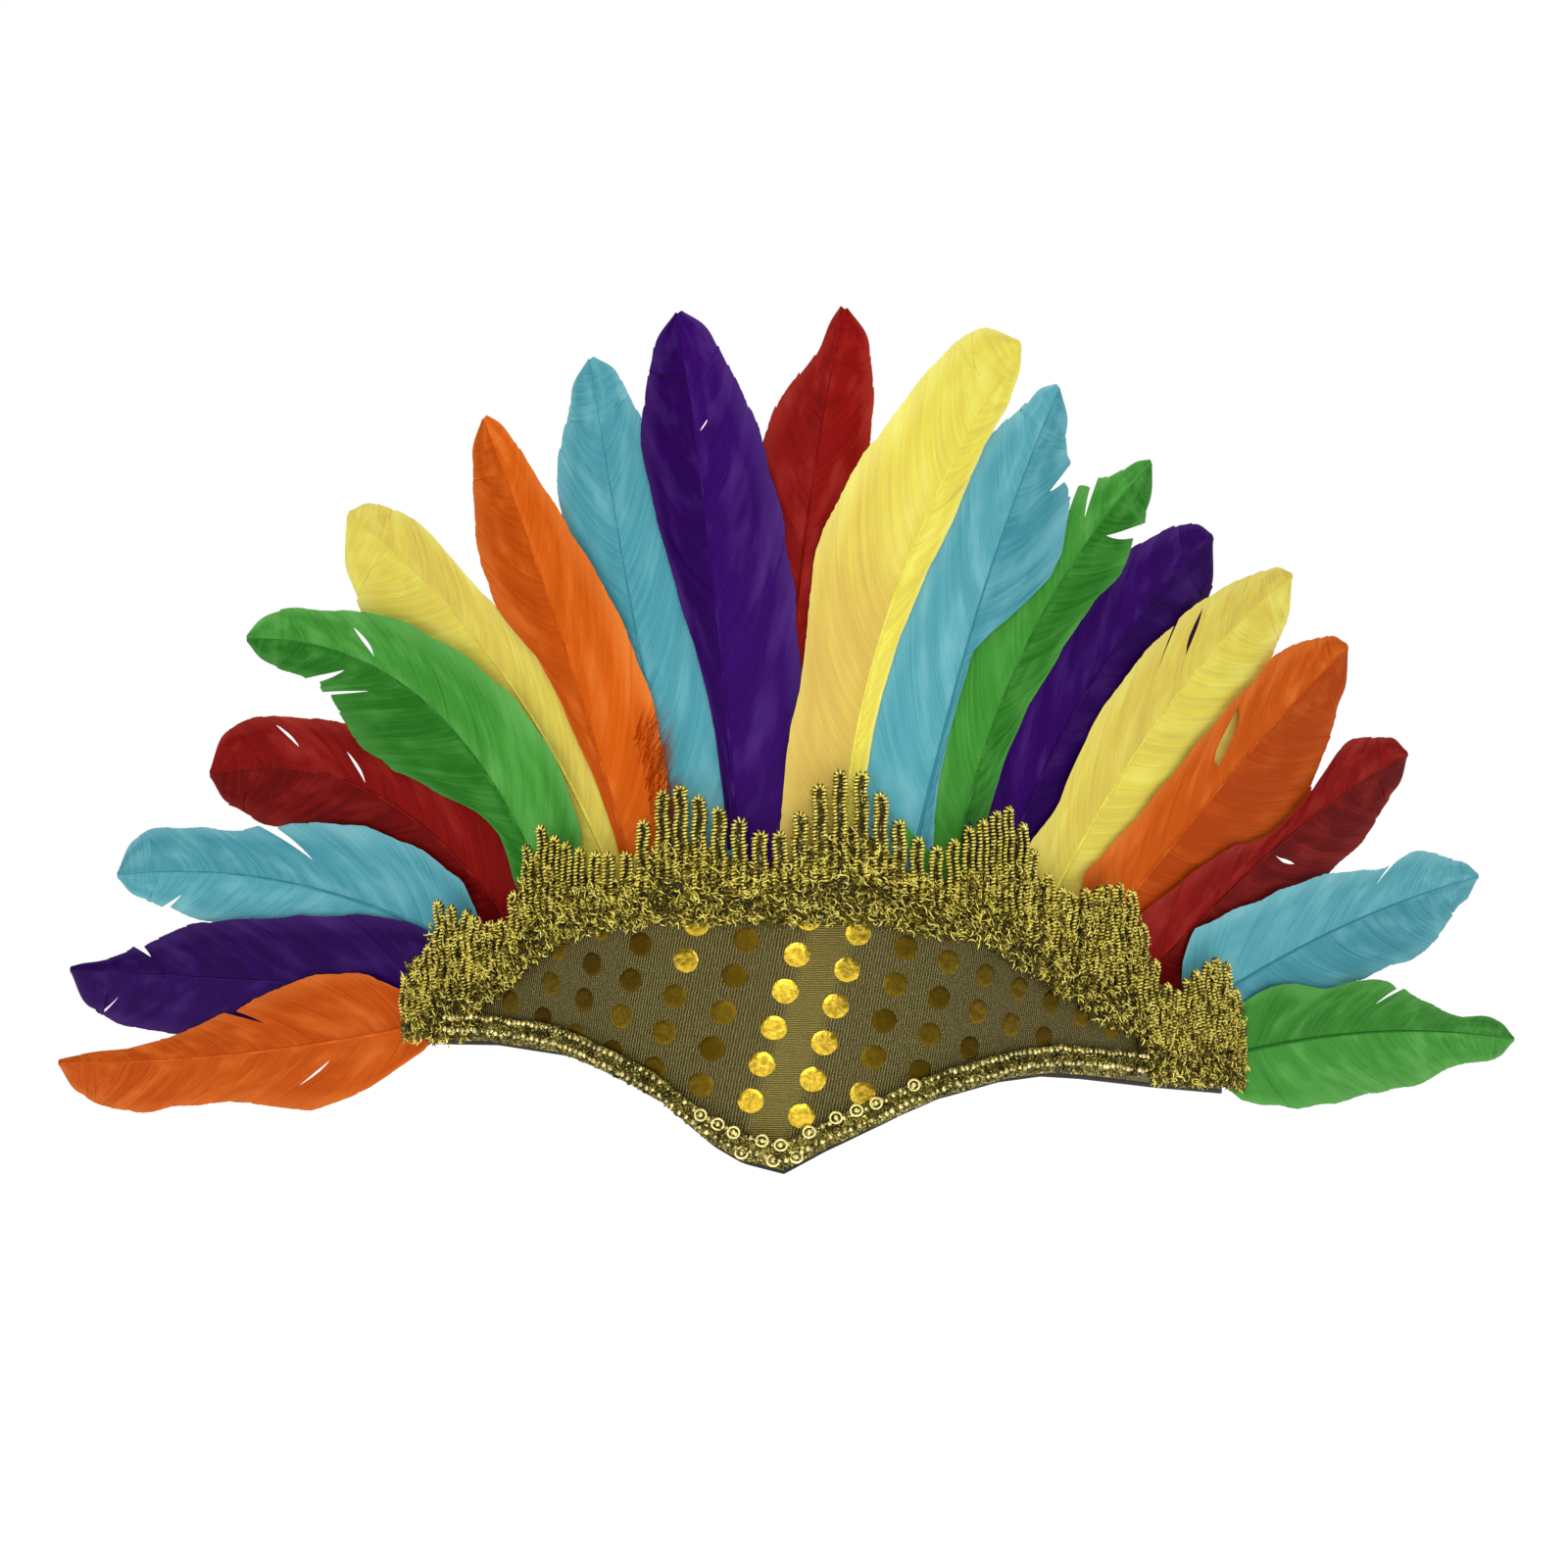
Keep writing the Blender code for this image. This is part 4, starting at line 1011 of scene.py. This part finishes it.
class HEADDRESS_OT_lace(Operator):
    """Build the lace: upright fingers wound with yarn over a tangle of curls"""
    bl_idname = "headdress.lace"
    bl_label = "Lace"

    def execute(self, context):
        settings = context.scene.headdress_lace
        rng = np.random.default_rng(21)
        material = yarn_material("Gold lace yarn", settings.color, settings.shade, 0.75, 0.38)
        ground = yarn_material("Lace ground", settings.shade, scaled(settings.shade, 0.3), 0.4, 0.7)
        self.build_ground(ground)
        self.build_fingers(settings, material, rng)
        for name in ("lace_curls", "lace_tangle"):
            self.build_curls(settings, name, material, rng)
        return {"FINISHED"}

    def build_ground(self, material):
        """Thin dull net behind the yarn, which closes the lace between and inside its fingers; its dark
        colour is partly painted shade standing for the shadow in those gaps.
        """
        s = strip_columns(LACE_REACH, 1.1 * MM)
        low = lace_low(s) + 0.5 * MM
        share = np.interp(np.abs(s), *GROUND_SHARE)
        high = np.maximum(low + share * (lace_top(s) - low), low + MM)
        z = low[:, None] + (high - low)[:, None] * np.linspace(0, 1, 12)
        n = LACE_BACK + 0.2 * MM + 0.25 * MM * np.sin(s[:, None] * 2400) * np.sin(z * 2600)
        weave = Weave()
        weave.grid(place(s[:, None], z, n))
        web = LACE_PITCH / 4
        for middle, foot, top in zip(*lace_fingers()):
            z = np.linspace(foot, max(top - 1.5 * MM, foot + MM), 6)[:, None]
            weave.grid(place(middle + web * np.array([[-1.0, -0.4, 0.4, 1.0]]), z, LACE_BACK + 0.5 * MM))
        piece = weave.build("lace_ground", material)

    def build_fingers(self, settings, material, rng):
        """Each finger is two legs joined by a round arch, with yarn coiled all along them."""
        weave = Weave()
        spread = LACE_PITCH / 4
        left, right = (arc_length(share) for share in LACE_REACH)
        for middle, low, top in zip(*lace_fingers()):
            middle = min(max(middle, left + 3 * MM), right - 3 * MM)
            low = low + 0.3 * (top - low)
            leg = max(top - settings.coil_radius - settings.yarn - spread - low, MM)
            arch = math.pi * spread
            length = 2 * leg + arch
            turns = length / settings.coil_pitch
            t = np.linspace(0, length, int(turns * 7))
            over = np.clip(t - leg, 0.0, arch) / spread
            s = middle - spread * np.cos(over)
            z = low + np.minimum(t, leg) + spread * np.sin(over) - np.clip(t - leg - arch, 0.0, None)
            angle = t / settings.coil_pitch * 2 * math.pi + rng.uniform(0, 6)
            wander = settings.coil_radius * (1 + 0.25 * rng.normal(size=len(t)))
            loose = np.interp(abs(middle), *FINGER_SWAY)
            sway = rng.normal(0, loose) + loose * np.sin(z * 700 + rng.uniform(0, 6))
            s = s + sway - wander * np.cos(angle) * np.cos(over)
            z = z + wander * np.cos(angle) * np.sin(over) + 0.04 * MM * rng.normal(size=len(t))
            n = LACE_BACK + LACE_THICK / 2 + 0.2 * MM + settings.coil_radius * np.sin(angle)
            knob = settings.yarn * (0.8 + 0.5 * np.clip(np.sin(angle), 0.0, 1.0))
            # Painted light and shade: the front of each turn, which stands forward, is painted brighter and
            # its back darker
            shine = 0.3 * np.sin(angle) + 0.12 * rng.normal(size=len(t))
            tone = pair(0.5, shine[None, :, None])
            weave.tubes(place(s, z, n)[None], knob[None], 4, tone=tone)
        piece = weave.build("lace_fingers", material)
        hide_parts("top_lace")

    def build_curls(self, settings, name, material, rng):
        """Loose curls and short straight wires, thickest along the lace's ragged lower edge."""
        count = settings.curls
        s = rng.uniform(arc_length(LACE_REACH[0]) + 2 * MM, arc_length(LACE_REACH[1]) - 2 * MM, count)
        low, high = lace_low(s), lace_top(s)
        full = np.interp(np.abs(s), *CURL_SHARE)
        z = low + (high - low) * full * rng.beta(1.0, 1.3, count) + rng.uniform(-1.0, 0.5, count) * MM
        t = np.linspace(0, 1, 7)
        bend = rng.uniform(0.3, 4.2, (count, 1))
        turn = rng.uniform(0, 2 * math.pi, (count, 1)) + bend * (t - 0.5)
        size = rng.uniform(1.5, 3.0, (count, 1)) * MM / bend
        middle = turn[:, 3:4]
        ds = size * (np.cos(turn) - np.cos(middle))
        dz = size * (np.sin(turn) - np.sin(middle))
        n = LACE_BACK + LACE_THICK * rng.uniform(0.5, 1.2, (count, 1)) + 0.3 * MM * np.sin(turn * 2)
        paths = place(s[:, None] + ds, z[:, None] + dz, n)
        radii = settings.yarn * np.sin(math.pi * np.clip(t, 0.15, 0.85))[None]
        tone = pair(0.5, rng.uniform(-0.4, 0.45, (count, 1, 1)))
        weave = Weave()
        weave.tubes(paths, np.broadcast_to(radii, (count, 7)), 4, tone=tone)
        piece = weave.build(name, material)


class HeaddressBraid(PropertyGroup):
    bead_radius: FloatProperty(
        name="Bead radius", description="Radius of a bead", default=0.66 * MM, unit="LENGTH", precision=5)
    bead_pitch: FloatProperty(
        name="Bead pitch", description="Distance between beads", default=1.6 * MM, unit="LENGTH", precision=5)
    ring_radius: FloatProperty(
        name="Ring radius", description="Radius of the flat rings near the point",
        default=1.35 * MM, unit="LENGTH", precision=5)
    color: FloatVectorProperty(
        name="Beads", description="Colour of the beads", default=(0.85, 0.72, 0.3), subtype="COLOR")
    reach: FloatVectorProperty(
        name="Bead rows", description="Arc lengths where the rows of beads start and end, over the lace",
        default=(-97 * MM, 108 * MM), size=2, unit="LENGTH", precision=5)
    curls: IntProperty(
        name="Curls", description="Number of small curls over the strip", default=1900, min=1)


# Rows of beads, as shares of the braid's height, and how far the beads' middles stand out from it
BEAD_ROWS = (0.4, 0.88)
BEAD_PROUD = 1.15 * MM

# Flat rings near the point: arc length in mm and share of the braid's height
RINGS = (
    (-18.5, 0.85), (-14.6, 0.9), (-11.1, 0.9), (-9.4, 0.3), (-4.8, 0.9), (-2.4, 0.3), (-0.7, 0.9),
    (2.7, 0.3), (5.5, 0.95), (11.4, 1.0), (16.0, 0.95), (20.5, 0.9), (29.5, 0.95),
)


def braid_depth(s, z):
    return panel_depth(s, z) + PANEL_THICK + CLEARANCE


class HEADDRESS_OT_braid(Operator):
    """Build the braid: a netted strip, curls, two rows of beads and flat rings at the point"""
    bl_idname = "headdress.braid"
    bl_label = "Braid"

    def execute(self, context):
        settings = context.scene.headdress_braid
        lace = context.scene.headdress_lace
        rng = np.random.default_rng(33)
        material = yarn_material("Braid yarn", scaled(lace.color, 0.5), scaled(lace.shade, 0.4), 0.7, 0.4)
        beads = yarn_material("Braid beads", settings.color, scaled(settings.color, 0.6), 0.8, 0.25)
        s = strip_columns(BRAID_REACH, 0.8 * MM)
        low = band_bottom(s) + BACKING_LIP
        self.build_strip(material, s, low)
        self.build_curls(settings, material, rng)
        self.build_beads(settings, beads, rng)
        return {"FINISHED"}

    def build_strip(self, material, s, low):
        shares = np.linspace(0, 1, 9)
        z = low[:, None] + BRAID_HEIGHT * shares
        net = 0.2 * MM * np.sin(s[:, None] * 4200) * np.cos(shares * 20)
        n = braid_depth(s[:, None], z) + 0.5 * MM + 0.5 * MM * np.sin(shares * 2 * math.pi - 1.2) ** 2 + net
        back = braid_depth(s[:, None], z)
        ring = np.concatenate([place(s[:, None], z, back), place(s[:, None], z, n)[:, ::-1]], axis=1)
        surface = np.zeros(ring.shape[:2] + (2,))
        weave = Weave()
        closed_strip(weave, ring, surface)
        piece = weave.build("braid_strip", material)
        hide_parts("bottom_braid")

    def build_curls(self, settings, material, rng):
        count = settings.curls
        s = rng.uniform(*settings.reach, count)
        z = band_bottom(s) + BACKING_LIP + BRAID_HEIGHT * rng.uniform(0.08, 0.95, count)
        t = np.linspace(0, 1, 7)
        turn = rng.uniform(0, 2 * math.pi, count)[:, None] + rng.uniform(2, 5.5, count)[:, None] * t
        size = rng.uniform(0.3, 0.75, count)[:, None] * MM
        ds, dz = size * np.cos(turn), size * np.sin(turn)
        proud = rng.uniform(0.9, 1.5, (count, 1)) * MM
        depth = braid_depth(s, z)[:, None] + proud + 0.2 * MM * np.sin(turn * 2)
        weave = Weave()
        weave.tubes(place(s[:, None] + ds, z[:, None] + dz, depth), 0.2 * MM, 4)
        piece = weave.build("braid_curls", material)

    def build_beads(self, settings, material, rng):
        """Two rows of round beads, and flat rings on both sides of the point."""
        weave = Weave()
        left, right = (arc_length(share) for share in BRAID_REACH)
        over_lace = LACE_BACK + LACE_THICK
        polar = np.linspace(0, math.pi, 6)[:, None]
        around = np.linspace(0, 2 * math.pi, 8, endpoint=False)
        ball = np.stack(np.broadcast_arrays(
            np.sin(polar) * np.cos(around), np.sin(polar) * np.sin(around), np.cos(polar)), axis=-1)
        for height in BEAD_ROWS:
            for s in np.arange(*settings.reach, settings.bead_pitch):
                s += rng.normal(0, 0.2 * MM)
                z = float(band_bottom(s)) + BACKING_LIP + BRAID_HEIGHT * height + rng.normal(0, 0.18 * MM)
                depth = float(braid_depth(s, z)) + BEAD_PROUD
                centre = place(s, z, depth if left < s < right else over_lace)
                radius = settings.bead_radius * rng.uniform(0.7, 1.2)
                weave.grid(centre + ball * radius, 0.0, (rng.uniform(), rng.uniform(-0.4, 0.4)), closed=True)
        angles = np.linspace(0, 2 * math.pi, 17)
        for s, height in RINGS:
            s = s * MM
            z = float(band_bottom(s)) + BACKING_LIP + BRAID_HEIGHT * height
            centre = place(s, z, float(braid_depth(s, z)) + 1.3 * MM)
            weave.grid(centre + ball * settings.bead_radius, 0.0, (0.5, 0.5), closed=True)
            ds, dz = settings.ring_radius * np.cos(angles), settings.ring_radius * np.sin(angles)
            n = float(braid_depth(s, z)) + 1.5 * MM + 0.1 * MM * np.sin(angles + s * 900)
            weave.tubes(place(s + ds, z + dz, n)[None], 0.33 * MM, 6, tone=(0.5, 0.3))
        piece = weave.build("braid_beads", material)


class HeaddressStage(PropertyGroup):
    view_distance: FloatProperty(
        name="View distance", description="Distance of the camera in front of the brow",
        default=1.1, unit="LENGTH")
    view_height: FloatProperty(
        name="View height", description="Height of the camera above the seat",
        default=67.2 * MM, unit="LENGTH", precision=4)
    view_width: FloatProperty(
        name="View width", description="Width that the view shows at the brow", default=0.384, unit="LENGTH")
    floor_drop: FloatProperty(
        name="Floor drop", description="How far the floor is below the headdress",
        default=0.16, unit="LENGTH")
    key_power: FloatProperty(
        name="Key light", description="Power of the front light",
        default=11.0, unit="POWER")
    floor_reach: FloatProperty(
        name="Floor reach", description="Half the floor's width", default=4.0, unit="LENGTH")
    world_light: FloatProperty(
        name="Surrounding light", description="Strength of the light from all around", default=0.3)
    back_power: FloatProperty(
        name="Back light", description="Power of the light behind",
        default=9.0, unit="POWER")
    top_power: FloatProperty(
        name="Top light", description="Power of the light above",
        default=5.0, unit="POWER")


# Each softbox: name, place and size, and the point that all of them face
SOFTBOXES = (
    ("Front softbox", (0.0, -1.5, 0.55), 1.0),
    ("Top softbox", (0.0, -0.1, 1.2), 0.9),
    ("Back softbox", (0.0, 1.5, 0.5), 1.0),
)
LIT_POINT = (0.0, 0.05, 0.07)


class HEADDRESS_OT_stage(Operator):
    """Build the pale floor and surroundings, the soft lights and the camera"""
    bl_idname = "headdress.stage"
    bl_label = "Stage"

    def execute(self, context):
        settings = context.scene.headdress_stage
        self.add_floor(context, settings)
        self.add_world(context, settings)
        powers = (settings.key_power, settings.top_power, settings.back_power)
        for (name, spot, size), power in zip(SOFTBOXES, powers):
            self.add_light(name, spot, size, power)
        self.add_camera(context, settings)
        context.scene.view_settings.view_transform = "Standard"
        return {"FINISHED"}

    def add_floor(self, context, settings):
        """Wide pale floor, clear when it is seen from below."""
        height = CAD_BOX[0][2] - settings.floor_drop
        reach = settings.floor_reach
        corners = ((-reach, -reach), (reach, -reach), (reach, reach), (-reach, reach))
        mesh = bpy.data.meshes.new("floor")
        mesh.from_pydata([(x, y, height) for x, y in corners], [], [(0, 1, 2, 3)])
        material, tree, shader = new_material("Pale floor", roughness=0.9)
        shader.inputs["Base Color"].default_value = (0.86, 0.86, 0.86, 1)
        shader.inputs["Emission Color"].default_value = (1, 1, 1, 1)
        shader.inputs["Emission Strength"].default_value = 0.8
        below = add_node(tree, "ShaderNodeNewGeometry").outputs["Backfacing"]
        clear = add_node(tree, "ShaderNodeBsdfTransparent").outputs[0]
        mixed = add_node(tree, "ShaderNodeMixShader", i0=below, i1=shader.outputs[0], i2=clear)
        tree.links.new(mixed.outputs[0], tree.nodes["Material Output"].inputs["Surface"])
        mesh.materials.append(material)
        floor = bpy.data.objects.new("floor", mesh)
        context.scene.collection.objects.link(floor)

    def add_world(self, context, settings):
        """White surroundings that light the headdress more softly than they show."""
        world = context.scene.world or bpy.data.worlds.new("Studio")
        context.scene.world = world
        world.use_nodes = True
        tree = world.node_tree
        background = tree.nodes["Background"]
        background.inputs["Color"].default_value = (1.0, 1.0, 1.0, 1.0)
        seen = add_node(tree, "ShaderNodeLightPath").outputs["Is Camera Ray"]
        strength = ramp_values(tree, seen, 0.0, 1.0, settings.world_light, 1.0)
        tree.links.new(strength, background.inputs["Strength"])

    def add_light(self, name, spot, size, power):
        light = bpy.data.lights.new(name, "AREA")
        light.size = size
        light.energy = power
        lamp = bpy.data.objects.new(name, light)
        lamp.location = spot
        lamp.rotation_euler = (Vector(LIT_POINT) - Vector(spot)).to_track_quat("-Z", "Y").to_euler()
        bpy.context.scene.collection.objects.link(lamp)

    def add_camera(self, context, settings):
        data = bpy.data.cameras.new("Camera")
        data.sensor_width = 36.0
        data.lens = data.sensor_width * settings.view_distance / settings.view_width
        camera = bpy.data.objects.new("Camera", data)
        camera.location = (0.0, -settings.view_distance, settings.view_height)
        camera.rotation_euler = (math.pi / 2, 0.0, 0.0)
        context.scene.collection.objects.link(camera)
        context.scene.camera = camera


class HEADDRESS_PT_pieces(Panel):
    """Sidebar panel that lists the pieces"""
    bl_idname = "HEADDRESS_PT_pieces"
    bl_label = "Feather headdress"
    bl_space_type = "VIEW_3D"
    bl_region_type = "UI"
    bl_category = "Headdress"

    def draw(self, context):
        for name, _, operator in STEPS:
            box = self.layout.box()
            box.operator(operator.bl_idname)
            settings = getattr(context.scene, name)
            for key in settings.__annotations__:
                box.prop(settings, key)


# Each step: its settings on the scene, the class that holds them and the operator that builds it
STEPS = (
    ("headdress_band", HeaddressBand, HEADDRESS_OT_band),
    ("headdress_dots", HeaddressDots, HEADDRESS_OT_dots),
    ("headdress_braid", HeaddressBraid, HEADDRESS_OT_braid),
    ("headdress_feathers", HeaddressFeathers, HEADDRESS_OT_feathers),
    ("headdress_lace", HeaddressLace, HEADDRESS_OT_lace),
    ("headdress_stage", HeaddressStage, HEADDRESS_OT_stage),
)


def register():
    for name, settings, operator in STEPS:
        bpy.utils.register_class(settings)
        bpy.utils.register_class(operator)
        setattr(bpy.types.Scene, name, PointerProperty(type=settings))
    bpy.utils.register_class(HEADDRESS_PT_pieces)


def unregister():
    bpy.utils.unregister_class(HEADDRESS_PT_pieces)
    for name, settings, operator in reversed(STEPS):
        delattr(bpy.types.Scene, name)
        bpy.utils.unregister_class(operator)
        bpy.utils.unregister_class(settings)


def main():
    register()
    bpy.ops.headdress.band()
    bpy.ops.headdress.dots()
    bpy.ops.headdress.braid()
    bpy.ops.headdress.feathers()
    bpy.ops.headdress.lace()
    bpy.ops.headdress.stage()


if __name__ == "__main__":
    main()
